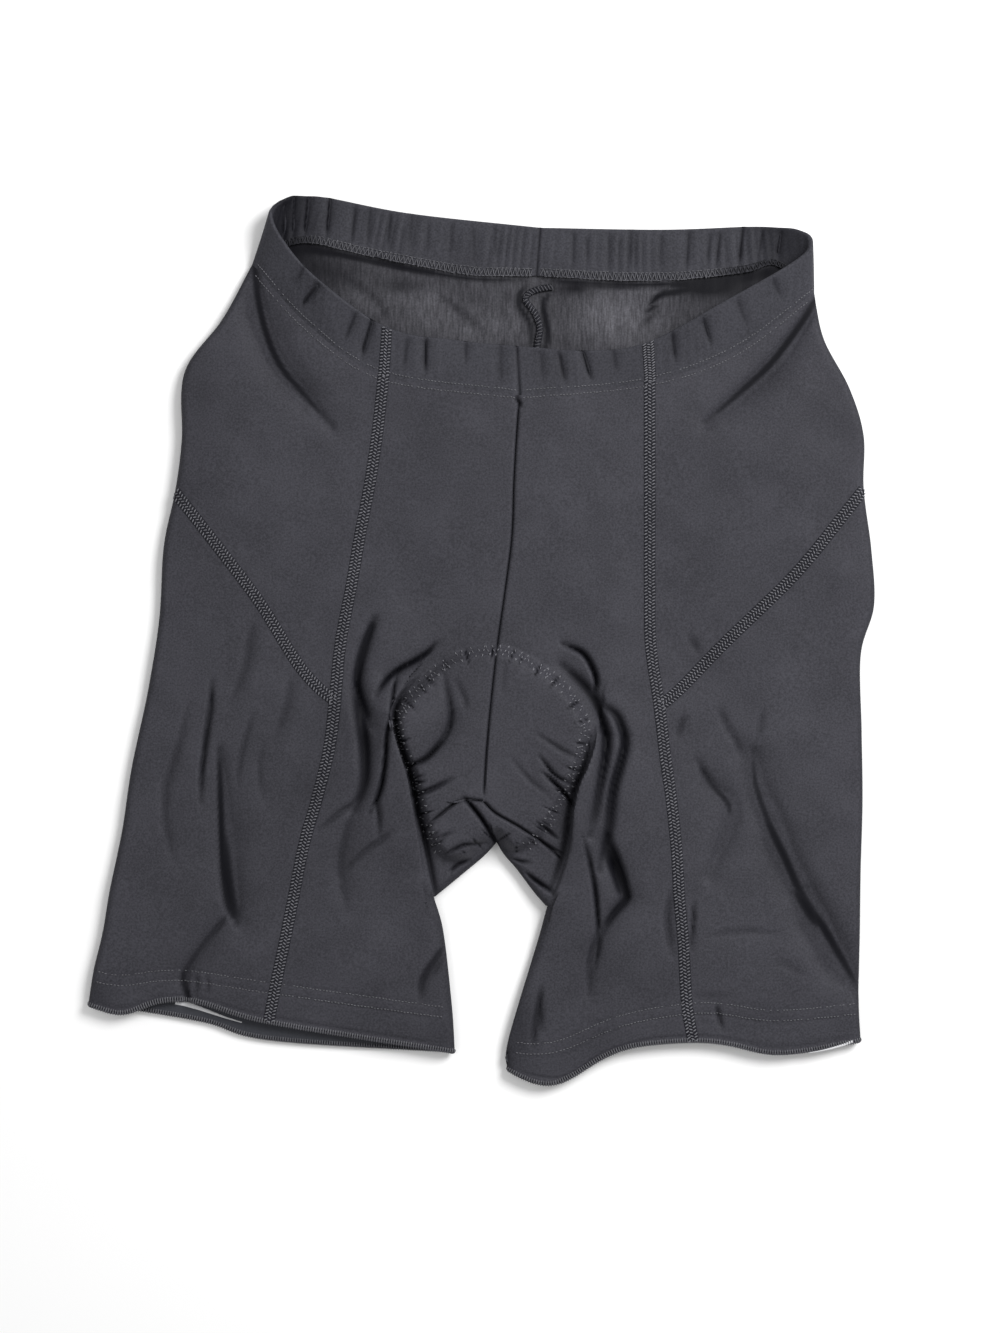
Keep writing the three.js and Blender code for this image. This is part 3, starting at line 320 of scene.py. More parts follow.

# Painted light and shade: broad patches where the cloth is painted lighter, or darker where the amount is
# below 0
PAINTED_LIGHT_AND_SHADE = table("where x y wide long amount", [
    ("left thigh, upper", 165, -30, 28, 40, 0.08),
    ("left knee", 120, -160, 28, 22, 0.08),
    ("left belly", 68, 55, 30, 45, 0.05),
    ("right inner thigh", -52, -140, 14, 26, 0.07),
    ("right belly", -28, 85, 22, 40, -0.05),
    ("right hip", -148, 120, 18, 40, -0.12),
    ("left hip", 192, 110, 15, 40, -0.16),
    ("right inner hem corner", -18, -208, 18, 11, -0.22),
    ("left inner hem corner", 20, -205, 9, 24, -0.28),
    ("right outer hem corner", -202, -186, 9, 11, -0.25),
    ("right hem", -75, -195, 40, 12, -0.06),
])
# Painted shade over all the upper cloth, which those patches lessen or deepen, and the most painted shade
# where the cloth turns under at a fold
PAINTED_SHADE_BASE = 0.09
EDGE_SHADE = 0.5

# Slow unevenness of the cloth: wavelength, direction in degrees, height and start of each wave
WAVES = [(61, 20, 0.22, 0.4), (43, 75, 0.16, 2.1), (29, 130, 0.1, 4.0), (19, 48, 0.05, 1.2),
         (23, 100, 0.06, 3.3)]


def between(a, b, c, d, share):
    """A smooth curve through four points, at a share of the way from the second to the third."""
    f = share[..., None]
    return 0.5 * (2 * b + (c - a) * f + (2 * a - 5 * b + 4 * c - d) * f**2 + (3 * b - a - 3 * c + d) * f**3)


def spline(points, t):
    """A smooth curve through the points of a list, at list positions t."""
    p = np.asarray(points, float)
    if p.ndim == 1:
        p = p[:, None]
    p = np.vstack([2 * p[0] - p[1], p, 2 * p[-1] - p[-2]])
    t = np.asarray(t, float)
    i = np.clip(np.floor(t).astype(int), 0, len(p) - 4)
    return between(p[i], p[i + 1], p[i + 2], p[i + 3], t - i)


def curve(points, steps):
    return spline(points, np.linspace(0, len(points) - 1, steps + 1))


def smooth(t):
    c = np.clip(t, 0, 1)
    return c * c * (3 - 2 * c)


def bell(distance):
    """1 in the middle of a round hump, falling to 0.37 at distance 1."""
    return np.exp(-(distance**2))


def lengths_along(line):
    """Length along a line up to each of its points."""
    return np.concatenate([[0], np.cumsum(np.linalg.norm(np.diff(line, axis=0), axis=1))])


def resample(line, count):
    """The same line as count even steps."""
    lengths = lengths_along(line)
    at = np.linspace(0, lengths[-1], count + 1)
    return np.stack([np.interp(at, lengths, line[:, k]) for k in range(line.shape[1])], 1)


def even_line(line, step):
    """The same line with points at even steps along it, about one step long."""
    line = np.asarray(line, float)
    return resample(line, max(2, int(round(lengths_along(line)[-1] / step))))


def nearest(path, x, y):
    """Distance, side (left of the line is positive), place along it and its direction."""
    best = np.full(x.shape, np.inf)
    side, place = np.zeros(x.shape), np.zeros(x.shape)
    ux, uy = np.zeros(x.shape), np.zeros(x.shape)
    last = len(path) - 1
    for i in range(last):
        ax, ay = path[i]
        sx, sy = path[i + 1][0] - ax, path[i + 1][1] - ay
        length = math.hypot(sx, sy) or 1e-9
        t = np.clip(((x - ax) * sx + (y - ay) * sy) / length**2, 0, 1)
        dx, dy = x - ax - t * sx, y - ay - t * sy
        distance = np.hypot(dx, dy)
        closer = distance < best
        best = np.where(closer, distance, best)
        side = np.where(closer, sx * dy - sy * dx, side)
        place = np.where(closer, (i + t) / last, place)
        ux, uy = np.where(closer, sx / length, ux), np.where(closer, sy / length, uy)
    return best, side, place, ux, uy


def near_line(line, reach, x, y):
    """Which points lie in the box round a line, widened by a reach."""
    low, high = line.min(0) - reach, line.max(0) + reach
    return (x > low[0]) & (x < high[0]) & (y > low[1]) & (y < high[1])


def inside(outline, x, y):
    result = np.zeros(x.shape, bool)
    for i in range(len(outline)):
        ax, ay = outline[i]
        bx, by = outline[(i + 1) % len(outline)]
        if ay == by:
            continue
        crosses = ((ay > y) != (by > y)) & (x < ax + (bx - ax) * (y - ay) / (by - ay))
        result ^= crosses
    return result


PAD_RING = curve(PAD_OUTLINE + PAD_OUTLINE[:1], 84)


def pad_depth(x, y):
    """Distance into the pad's outline, and the place along it."""
    distance, _, place, _, _ = nearest(PAD_RING, x, y)
    return np.where(inside(PAD_RING, x, y), distance, -distance), place


def add_spots(total, spots, sign, x, y):
    """Adds round spots to an array, or takes them away where sign is -1."""
    for s in spots:
        east, north = (x - s["x"]) / s["wide"], (y - s["y"]) / s["long"]
        total += sign * s["amount"] * np.exp(-(east**2) - north**2)


def painted_broad_shade(patches, base, x, y):
    """Painted shade of the cloth away from its creases: a base less the painted light of each patch."""
    tone_and_painted_shade = np.full(x.shape, float(base))
    add_spots(tone_and_painted_shade, patches, -1, x, y)
    return np.clip(tone_and_painted_shade, 0, 1)


def add_fold(one, x, y, height, shift_x, shift_y, shade, core_share=CORE_SHARE):
    """Adds one fold to the cloth's height, sideways shift and painted crease shade."""
    west, east = one["west"], one["east"]
    path = curve(one["path"], 5 * (len(one["path"]) - 1))
    near = near_line(path, FADE_WIDTHS * max(west, east), x, y)
    if not near.any():
        return
    distance, side, place, ux, uy = nearest(path, x[near], y[near])
    northward = path[-1][1] > path[0][1]
    width = np.where(side > 0 if northward else side < 0, west, east)
    if one.get("even"):
        fade = smooth(np.minimum(place, 1 - place) / END_FADE)
    else:
        fade = np.sqrt(np.sin(np.pi * np.clip(place, END_FADE, 1 - END_FADE)))
        fade = fade * smooth(1 - np.maximum(0, distance / (FADE_WIDTHS * width)))
    share = fade * bell(distance / width)
    height[near] += one["height"] * share
    # Painted shade: a sunken fold darkens the cloth's colour, softly over its width and fully in a narrow
    # core
    if one["height"] < 0:
        core = fade * bell(distance / np.minimum(width, one.get("reach", SHADE_REACH)))
        core_part = 0 if one.get("soft") else core_share
        deep = SOFT_SHARE * share + core_part * smooth((core - 0.06) / 0.55)
        shade[near] = np.maximum(shade[near], deep * min(1, (-one["height"] / FULL_DEPTH) ** 1.15))
    if one.get("lean"):
        turn = (1 if east < west else -1) * (1 if northward else -1)
        shift_x[near] += one["lean"] * share * turn * uy
        shift_y[near] -= one["lean"] * share * turn * ux


def cloth(x, y, fine=True):
    """Height of the upper layer's outer surface, how far its folds lean, and the painted shade in its
    creases.
    """
    height = np.full(x.shape, float(FLAT_HEIGHT))
    shift_x, shift_y, shade = np.zeros(x.shape), np.zeros(x.shape), np.zeros(x.shape)
    add_spots(height, MOUNDS, 1, x, y)
    depth, place = pad_depth(x, y)
    height += PAD_RISE * smooth((depth + PAD_EDGE * 0.5) / PAD_EDGE)
    for one in FOLDS:
        add_fold(one, x, y, height, shift_x, shift_y, shade, core_share=0)
    if fine:
        for one in CREASES:
            add_fold(one, x, y, height, shift_x, shift_y, shade)
        turn = 2 * math.pi * (place * PUCKERS + 0.35 * np.sin(place * 40))
        tick = np.maximum(0, np.cos(turn)) ** 6 * np.maximum(0, 0.55 + 0.45 * np.sin(place * 171))
        tick = tick * bell((depth - 1.2) / 4) * (y > PAD_LOW_END)
        height -= PUCKER_DEPTH * tick
        # Painted shade in the puckers round the pad
        shade = np.maximum(shade, smooth(1.5 * tick))
        height -= PAD_ROW_DEPTH * bell((depth - 1) / 3) * (y > PAD_LOW_END)
        for length, angle, rise, start in WAVES:
            along = x * math.cos(math.radians(angle)) + y * math.sin(math.radians(angle))
            height += rise * np.sin(2 * math.pi * along / length + start + 0.9 * np.sin(y / 31 + start))
    return np.maximum(height, LEAST_HEIGHT), shift_x, shift_y, shade


# The plan: lines of the garment at any row, and points at any place across the rows

def centre_line(body, fork, leg, rows):
    rows = np.asarray(rows, float)
    fork_at = (rows - FORK_ROW) / (INNER_ROW - FORK_ROW) * (len(fork) - 1)
    upper = spline(body, np.clip(rows - BAND_ROW, 0, len(body) - 1))
    middle = spline(fork, np.clip(fork_at, 0, len(fork) - 1))
    lower = spline(leg, np.clip(rows - INNER_ROW, 0, len(leg) - 1))
    pick = rows[:, None]
    return np.where(pick <= FORK_ROW, upper, np.where(pick <= INNER_ROW, middle, lower))


def centre_front(half, rows):
    return centre_line(CENTRE_FRONT, half["inseam"], half["inner_leg"], rows)


def centre_back(half, rows):
    return centre_line(CENTRE_BACK, half["arch"], half["inner_leg"], rows)


def column(half, line, rows):
    """Points of a named line of the sections, at any row."""
    return spline([s[f"{half['name']}_{line}"] for s in SECTIONS], np.asarray(rows, float) - BAND_ROW)


def hem_dip(half, x, rows):
    """How far the hem dips below its line."""
    at, drop, width = half["hem_dip"]
    return drop * bell((x - at) / width) * smooth((rows - HEM_START) / 2)


def flat_rows(half, rows, across, plan):
    """Runs a plan function on arrays of any shape, one row number a point."""
    rows, across = np.broadcast_arrays(np.asarray(rows, float), np.asarray(across, float))
    x, y = plan(half, rows.ravel(), across.ravel())
    return x.reshape(rows.shape), y.reshape(rows.shape)


def top_plan_flat(half, rows, across):
    lines = [centre_front(half, rows)] + [column(half, line, rows) for line in ("seam", "mid", "side")]
    p = np.stack(lines, 1)
    p = np.concatenate([2 * p[:, :1] - p[:, 1:2], p, 2 * p[:, -1:] - p[:, -2:-1]], 1)
    i = np.clip(np.floor(across).astype(int), 0, 2)
    k = np.arange(len(rows))
    q = between(p[k, i], p[k, i + 1], p[k, i + 2], p[k, i + 3], across - i)
    return q[:, 0], q[:, 1] - hem_dip(half, q[:, 0], rows)


def off_line(line, share):
    """How far a curved line lies off its chord."""
    line = np.asarray(line, float)
    chord = line[0] + (line[-1] - line[0]) * share[:, None]
    return spline(line, share * (len(line) - 1)) - chord


def under_plan_flat(half, rows, across):
    side, centre = column(half, "side", rows), centre_back(half, rows)
    share = (across - 3) / 3
    q = side + (centre - side) * share[:, None]
    q = q + off_line(half["back_band"], share) * smooth(BAND_ROW + 1 - rows)[:, None]
    q = q + off_line(half["back_hem"], share) * smooth((rows - HEM_START) / 2)[:, None]
    near = bell((across - 3) / 0.2) + bell((across - 6) / 0.5)
    return q[:, 0], q[:, 1] - hem_dip(half, q[:, 0], rows) * near


def top_plan(half, rows, across):
    """Upper layer: 0 across is the centre front, 1 the princess seam and 3 the side fold."""
    return flat_rows(half, rows, across, top_plan_flat)


def under_plan(half, rows, across):
    """Lower layer: 3 across is the side fold, 5 the back princess seam and 6 the centre back."""
    return flat_rows(half, rows, across, under_plan_flat)


def round_off(distance, reach):
    t = 1 - np.minimum(distance, reach) / reach
    return np.sqrt(np.maximum(0, 1 - t * t))


def inner_line(half):
    if "inner_line" not in half:
        leg = curve(half["inner_leg"], 60)[1:]
        end = [[leg[-1][0], leg[-1][1] - 20]]
        half["inner_line"] = np.vstack([curve(half["arch"], 40), leg, end])
    return half["inner_line"]


def side_line(half):
    if "side_line" not in half:
        half["side_line"] = np.stack(top_plan(half, np.linspace(BAND_ROW, HEM_ROW, 160), 3.0), 1)
    return half["side_line"]


def fold_share(half, x, y):
    """0 on a fold of the laid cloth and 1 away from it."""
    share = np.ones(x.shape)
    for line, reach in ((inner_line(half), INNER_REACH), (side_line(half), SIDE_REACH)):
        near = near_line(line, reach + 1, x, y)
        if near.any():
            share[near] = np.minimum(share[near], round_off(nearest(line, x[near], y[near])[0], reach))
    return share


def top_surface(half, x, y, on_fold):
    """Points of the upper layer's outer surface, with their painted shade as a fourth number."""
    height, shift_x, shift_y, shade = cloth(x, y)
    share = np.where(on_fold, 0, fold_share(half, x, y))
    tone_and_painted_shade = painted_broad_shade(PAINTED_LIGHT_AND_SHADE, PAINTED_SHADE_BASE, x, y)
    # Painted shade from the broad patches and the creases, and where the cloth turns under at a fold
    shade = np.maximum(tone_and_painted_shade + (1 - tone_and_painted_shade) * shade, EDGE_SHADE * np.sqrt(1 - share**2))
    return np.stack([x + shift_x * share, y + shift_y * share, height * (0.5 + 0.5 * share), shade], -1)


def top_point(half, rows, across):
    rows, across = np.broadcast_arrays(np.asarray(rows, float), np.asarray(across, float))
    on_fold = ((across <= 1e-9) & (rows >= INNER_ROW)) | (np.abs(across - 3) < 1e-9)
    return top_surface(half, *top_plan(half, rows, across), on_fold)


def under_point(half, rows, across):
    rows, across = np.broadcast_arrays(np.asarray(rows, float), np.asarray(across, float))
    x, y = under_plan(half, rows, across)
    on_fold = ((across >= 6 - 1e-9) & (rows >= FORK_ROW)) | (np.abs(across - 3) < 1e-9)
    share = np.where(on_fold, 0, fold_share(half, x, y))
    return np.stack([x, y, cloth(x, y)[0] * (0.5 - 0.5 * share), np.zeros(x.shape)], -1)


# Grids of points become closed walls of cloth

def patch(points, flip):
    """A grid of points (rows, columns, 3 or more) as points and quads."""
    n, m = points.shape[:2]
    a = (np.arange(n - 1)[:, None] * m + np.arange(m - 1)[None, :]).ravel()
    quads = np.stack([a, a + m, a + m + 1, a + 1] if flip else [a, a + 1, a + m + 1, a + m], 1)
    return points.reshape(n * m, -1), quads


def weld(patches):
    points = np.concatenate([p for p, _ in patches])
    starts = np.cumsum([0] + [len(p) for p, _ in patches[:-1]])
    quads = np.concatenate([q + s for (_, q), s in zip(patches, starts)])
    keys = np.round(points[:, :3] * 200).astype(np.int64)
    _, first, index = np.unique(keys, axis=0, return_index=True, return_inverse=True)
    quads = index.reshape(-1)[quads]
    whole = (quads[:, 0] != quads[:, 1]) & (quads[:, 1] != quads[:, 2]) & (quads[:, 2] != quads[:, 3])
    return points[first], quads[whole & (quads[:, 3] != quads[:, 0])]


def normals_of(points, quads):
    p = points[:, :3]
    face = np.cross(p[quads[:, 2]] - p[quads[:, 0]], p[quads[:, 3]] - p[quads[:, 1]])
    total = np.zeros((len(points), 3))
    for k in range(4):
        np.add.at(total, quads[:, k], face)
    return total / np.maximum(np.linalg.norm(total, axis=1, keepdims=True), 1e-12)


def border(quads, count):
    edges = np.concatenate([quads[:, [k, (k + 1) % 4]] for k in range(4)]).astype(np.int64)
    code = edges[:, 0] * count + edges[:, 1]
    back = edges[:, 1] * count + edges[:, 0]
    return edges[~np.isin(code, back)]


def wall(points, quads, thickness, depth=0.0, gap=0.0, outer_lift=0.0, inner_lift=0.0):
    """Closed wall: outer surface, inner surface and rims. Lifts thicken it on either side."""
    p, n = points[:, :3], normals_of(points, quads)
    edges = border(quads, len(p))
    step = p[edges[:, 1]] - p[edges[:, 0]]
    inward = np.cross(n[edges[:, 0]] + n[edges[:, 1]], step)
    inward /= np.maximum(np.linalg.norm(inward, axis=1, keepdims=True), 1e-12)
    pull = np.zeros(p.shape)
    np.add.at(pull, edges[:, 0], inward)
    np.add.at(pull, edges[:, 1], inward)
    size = (pull**2).sum(1, keepdims=True)
    p = p + np.where(size > 0, pull * gap / np.maximum(size, 1.4), 0)
    outer_lift, inner_lift = np.broadcast_to(outer_lift, len(p)), np.broadcast_to(inner_lift, len(p))
    outer = p + n * (outer_lift - depth)[:, None]
    inner = p - n * (depth + thickness + inner_lift)[:, None]
    outer[:, 2] = np.maximum(outer[:, 2], 0)
    inner[:, 2] = np.maximum(inner[:, 2], 0.05)
    count = len(p)
    rims = np.stack([edges[:, 1], edges[:, 0], edges[:, 0] + count, edges[:, 1] + count], 1)
    return np.concatenate([outer, inner]), np.concatenate([quads, quads[:, ::-1] + count, rims])


# Faces that meet at more degrees than this keep a sharp edge
SHARP_RIM = 58


def add_mesh(name, points, faces, material, shade=None):
    mesh = bpy.data.meshes.new(name)
    place = (np.asarray(points, float) - [MIDDLE[0], MIDDLE[1], 0]) * 0.001
    mesh.from_pydata(place.tolist(), [], [list(map(int, f)) for f in faces])
    mesh.validate()
    mesh.shade_smooth()
    mesh.set_sharp_from_angle(angle=math.radians(SHARP_RIM))
    mesh.materials.append(material)
    # Painted shade, stored as a point attribute that the shaded materials read
    if shade is not None:
        mesh.attributes.new("crease", "FLOAT", "POINT").data.foreach_set("value", shade)
    piece = bpy.data.objects.new(name, mesh)
    bpy.context.scene.collection.objects.link(piece)
    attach(piece, "root")
    return piece


# Materials

def feed(tree, node, inputs):
    """Sets inputs of a node to constants, or links them to the outputs that are given."""
    for name, value in inputs.items():
        if isinstance(value, bpy.types.NodeSocket):
            tree.links.new(value, node.inputs[name])
        else:
            node.inputs[name].default_value = value
    return node


def cloth_material(name, colour, roughness, sheen, grain, streak=0.0, shaded=False):
    """Knit cloth: mottled grain, a fine rib as bump, streaks in the colour that are partly the brushed knit
    and partly painted sheen, and painted shade that darkens the creases.
    """
    material = bpy.data.materials.new(name)
    material.use_nodes = True
    tree = material.node_tree

    def add(kind, inputs=None, **settings):
        node = tree.nodes.new("ShaderNode" + kind)
        for setting, value in settings.items():
            setattr(node, setting, value)
        return feed(tree, node, inputs or {})

    where = add("TexCoord").outputs["Object"]
    small = add("TexNoise", {"Scale": 1050, "Detail": 2, "Vector": where}).outputs["Fac"]
    slow = add("TexNoise", {"Scale": 42, "Detail": 4, "Vector": where}).outputs["Fac"]
    mottle = add("Mix", {"Factor": 0.3, "A": small, "B": slow}).outputs["Result"]
    ramp = add("ValToRGB", {"Fac": mottle})
    for k, position, level in ((0, 0.35, 1 - grain), (1, 0.65, 1 + grain)):
        ramp.color_ramp.elements[k].position = position
        ramp.color_ramp.elements[k].color = (*[c * level for c in colour], 1)
    tone_and_painted_shade = ramp.outputs["Color"]
    rib = add("TexWave", {"Scale": 520, "Distortion": 0.6, "Vector": where}).outputs["Fac"]
    bump = add("Bump", {"Strength": 0.18, "Distance": 0.0002, "Height": rib}).outputs["Normal"]
    if streak:
        # Streaks in the colour: partly the brushed knit, partly painted sheen
        stretch = add("Mapping", {"Scale": (950, 130, 60), "Vector": where}).outputs["Vector"]
        lines = add("TexNoise", {"Scale": 1, "Detail": 3, "Vector": stretch}).outputs["Fac"]
        shine = add("MapRange", {"From Min": 0.35, "From Max": 0.65, "To Min": 1 - streak,
                                 "To Max": 1 + streak, "Value": lines}).outputs["Result"]
        tone_and_painted_shade = add("VectorMath", {0: tone_and_painted_shade, "Scale": shine}, operation="SCALE").outputs["Vector"]
    if shaded:
        # Painted shade: the crease attribute mixes the colour towards near black
        depth = add("Attribute", attribute_name="crease").outputs["Fac"]
        dark = {"Factor": depth, "A": tone_and_painted_shade, "B": (0.003, 0.003, 0.005, 1)}
        tone_and_painted_shade = add("Mix", dark, data_type="RGBA").outputs["Result"]
    feed(tree, tree.nodes["Principled BSDF"], {
        "Base Color": tone_and_painted_shade, "Normal": bump, "Roughness": roughness, "Specular IOR Level": 0.09,
        "Sheen Weight": sheen, "Sheen Roughness": 0.45, "Sheen Tint": (0.75, 0.75, 0.85, 1)})
    return material


SHELL = cloth_material("shell_knit_look", (0.0445, 0.044, 0.0525), 0.6, 0.02, 0.28, shaded=True)
INSIDE = cloth_material("inside_knit_look", (0.076, 0.075, 0.085), 0.5, 0.03, 0.25, streak=0.3, shaded=True)
BAND = cloth_material("band_knit_look", (0.038, 0.038, 0.0455), 0.6, 0.02, 0.28, shaded=True)
SEAM = cloth_material("seam_cloth_look", (0.013, 0.013, 0.017), 0.7, 0.02, 0.2)
THREAD = cloth_material("thread_look", (0.15, 0.15, 0.165), 0.6, 0.05, 0.3)
FINE_THREAD = cloth_material("fine_thread_look", (0.09, 0.09, 0.1), 0.6, 0.05, 0.3, shaded=True)
DIM_THREAD = cloth_material("dim_thread_look", (0.108, 0.108, 0.118), 0.6, 0.05, 0.3)
DOT_THREAD = cloth_material("dot_thread_look", (0.15, 0.15, 0.165), 0.6, 0.05, 0.3)
GRIPPER = cloth_material("gripper_look", (0.045, 0.047, 0.055), 0.6, 0.06, 0.1)
STRIPE = cloth_material("gripper_stripe_look", (0.62, 0.62, 0.64), 0.35, 0.0, 0.05)
PAD = cloth_material("pad_look", (0.03, 0.03, 0.035), 0.8, 0.1, 0.1)

# Lengths of the cells of cloth, of the gripper's cells, and of one row of sections
FINE = 1.1
MIDDLING = 1.35
COARSE = 2.4
FACING_CELL = 1.7
ROW_LENGTH = 27.5
FORK_ROW_LENGTH = 30

# Widths and numbers of columns of the panels, and the steps round a fold
FRONT_WIDTH = 88
STRIP_WIDTH = 122
WRAP_COLUMNS = 14
BACK_STRIP_COLUMNS = 26
BACK_COLUMNS = 34
GUSSET_COLUMNS = 32
FOLD_STEPS = 7

# Lines pressed into each hem: row and height
for name, half in HALVES.items():
    for row, height in ((13.0, -0.35), (13.25, -0.35), (13.83, -0.6)):
        x, y = top_plan(half, row, np.linspace(0.06, 2.94, 14))
        line = list(zip(x.tolist(), y.tolist()))
        CREASES.append(fold(f"{name} hem, row {row}", height, 0.8, 0.8, line, even=True))


def row_list(step, fork_step=None):
    """Row numbers about one step apart down the princess seam, with the joining rows among them."""
    stops = [BAND_ROW, SLANT_ROW, FORK_ROW, INNER_ROW, STITCH_ROW, HEM_ROW]
    rows = [float(stops[0])]
    for a, b in zip(stops[:-1], stops[1:]):
        at_fork = a == FORK_ROW
        length = (FORK_ROW_LENGTH if at_fork else ROW_LENGTH) * (b - a)
        count = max(2, int(round(length / (fork_step if at_fork and fork_step else step))))
        rows += [a + (b - a) * k / count for k in range(1, count + 1)]
    return np.array(rows)


def fold_steps(count):
    return 1 - np.cos(np.linspace(0, math.pi / 2, count + 1)[1:])


def folded(count, length, reach, share):
    """Positions across a panel whose first few lie on the round of a fold, one line a row."""
    even = np.linspace(0, 1, count + 1)[None, :]
    start = (reach / length)[:, None]
    rounds = np.concatenate([[0], fold_steps(FOLD_STEPS)])[None, :] * start
    rest = start + (1 - start) * np.linspace(0, 1, count + 1 - FOLD_STEPS)[None, 1:]
    return even + (np.concatenate([rounds, rest], 1) - even) * share[:, None]


def gap_between(plan, half, rows, a, b):
    """Distance on the plan from place a to place b across, for each row."""
    ax, ay = plan(half, rows, a)
    bx, by = plan(half, rows, b)
    return np.hypot(ax - bx, ay - by)


def wrap_length(rows):
    share = (rows - INNER_ROW) / (HEM_ROW - INNER_ROW)
    return WRAP_AT_FORK + (WRAP_AT_HEM - WRAP_AT_FORK) * smooth(share * 1.4)


def front_patches(half, flip, step, rows):
    """A front panel, with the part that wraps round the inner leg."""
    share = smooth((rows - FORK_ROW) / (INNER_ROW - FORK_ROW))
    across = folded(int(FRONT_WIDTH / step), gap_between(top_plan, half, rows, 0, 1), INNER_REACH, share)
    main = patch(top_point(half, rows[:, None], across), flip)
    leg = rows[rows >= INNER_ROW]
    shares = np.concatenate([[0], np.linspace(0.03, 1, WRAP_COLUMNS) ** 1.5])
    across = 6 - (wrap_length(leg) / gap_between(under_plan, half, leg, 5, 6))[:, None] * shares[None, :]
    points = under_point(half, leg[:, None], across)
    points[:, 0] = top_point(half, leg, 0)
    return [main, patch(points, not flip)]


def slant_row(half, across):
    """Row of the slanted seam, on the upper and on the lower layer."""
    mirrored = np.where(across > 3, 6 - across, across)
    return spline(half["slant"], mirrored - 1)[..., 0]


def strip_positions(half, rows, step):
    """Positions round the side, from the princess seam to the back princess seam."""
    top = (SIDE_REACH / gap_between(top_plan, half, rows, 2, 3))[:, None]
    under = (SIDE_REACH / gap_between(under_plan, half, rows, 3, 4))[:, None]
    turn = fold_steps(FOLD_STEPS)[::-1][1:]
    over = 1 + ((3 - top) - 1) * np.linspace(0, 1, int(STRIP_WIDTH / step))[None, :]
    end = 3 + under
    below = end + (5 - end) * np.linspace(0, 1, BACK_STRIP_COLUMNS)[None, :]
    return np.concatenate([over, 3 - top * turn[None, :], np.full((len(rows), 1), 3.0),
                           3 + under * turn[None, ::-1], below], 1)


def strip_patch(half, flip, step, lower, rows):
    """A hip panel above the slanted seam, or a thigh panel below it."""
    rows = rows[rows >= SLANT_ROW] if lower else rows[rows <= SLANT_ROW]
    end = HEM_ROW if lower else BAND_ROW
    share = ((rows - end) / (SLANT_ROW - end))[:, None]
    across = strip_positions(half, rows, step)
    actual = end + (slant_row(half, across) - end) * share
    points = np.where((across <= 3)[..., None], top_point(half, actual, np.minimum(across, 3)),
                      under_point(half, actual, np.maximum(across, 3)))
    return [patch(points, flip)]


def back_patches(half, flip, rows):
    """A back panel, with the gusset that turns up between the legs."""
    length = gap_between(under_plan, half, rows, 5, 6)
    share = np.where(rows > INNER_ROW, 0, smooth((rows - FORK_ROW + 0.6) / 0.6))
    across = folded(BACK_COLUMNS, length, INNER_REACH, share)
    end = np.where(rows >= INNER_ROW, 6 - (wrap_length(rows) + 0.1) / length, 6)[:, None]
    main = patch(under_point(half, rows[:, None], 5 + (end - 5) * (1 - across[:, ::-1])), flip)
    fork = rows[(rows >= FORK_ROW) & (rows < INNER_ROW)]
    if len(fork) < 2:
        return [main]
    a, b = centre_back(half, fork), centre_front(half, fork)
    shares = np.concatenate([[0], np.linspace(0.02, 1, GUSSET_COLUMNS) ** 1.3])
    xy = a[:, None] + (b - a)[:, None] * shares[None, :, None]
    on_fold = np.zeros(xy.shape[:2], bool)
    on_fold[:, 0] = True
    gusset = top_surface(half, xy[..., 0], xy[..., 1], on_fold)
    gusset[:, 0] = under_point(half, fork, 6)
    return [main, patch(gusset, flip)]


# Inner face of the back, seen through the waist: lines of painted shade where it creases, then patches of
# painted light and shadow
INNER_PAINTED_SHADE_LINES = [
    fold("under the stitch, right", -5, 2.2, 2.2, [(-114, 200.5), (-95, 206.5), (-63, 201), (-33.5, 195),
         (-4, 190.5), (24, 189.5)]),
    fold("under the stitch, left", -5, 2, 2, [(36, 189.5), (47, 189), (63, 187.5), (81, 187), (110, 188),
         (140, 191.5), (155, 194)]),
    fold("beside the curled seam", -5, 2.4, 2.4, [(24, 187), (20.5, 182), (20.5, 176), (24.5, 170),
         (27, 163), (26, 152)]),
    fold("beyond the curled seam", -5, 1.8, 3, [(38, 184), (33, 178), (34, 170), (35.5, 160), (33, 150)]),
    fold("left fold", -4.6, 3, 2.2, [(119, 187), (106, 184), (93.5, 181), (89.7, 173.4), (86.6, 166)]),
    fold("right soft fold", -2.4, 3, 4, [(-72, 192), (-60, 184), (-52, 176), (-50, 170)]),
    fold("middle soft fold", -2.2, 3, 4, [(-22, 183), (-14, 176), (-4, 168), (4, 160)]),
    fold("right corner line", -6, 3, 3, [(-124, 200), (-108, 204.5), (-95, 206.5), (-80, 204.5),
         (-66, 201.5)], reach=3),
    fold("left corner line", -6, 3, 3, [(114, 188), (130, 189.5), (146, 192.5), (158, 195.5), (170, 198)],
         reach=3),
]
INNER_PAINTED_LIGHT = table("where x y wide long amount", [
    ("right patch", -27, 177, 12, 10, 0.36),
    ("right patch, outer", -58, 178, 14, 7, 0.16),
    ("shadow below the stitch", -40, 187, 13, 4.5, -0.3),
    ("middle patch", 3, 165, 17, 9, 0.3),
    ("left patch", 72, 170, 21, 12, 0.42),
    ("left patch, upper", 88, 185, 10, 4, 0.3),
    ("right corner", -101, 206, 17, 12, -0.5),
    ("shadow, right", -80, 194, 17, 8, -0.3),
    ("shadow by the curl", 50, 185.5, 10, 3.5, -0.5),
    ("shadow, left", 116, 186, 14, 5, -0.4),
    ("left corner", 138, 188, 30, 12, -0.4),
])
# Painted shade over all the inner face, which the patches lessen or deepen
INNER_PAINTED_SHADE = 0.5

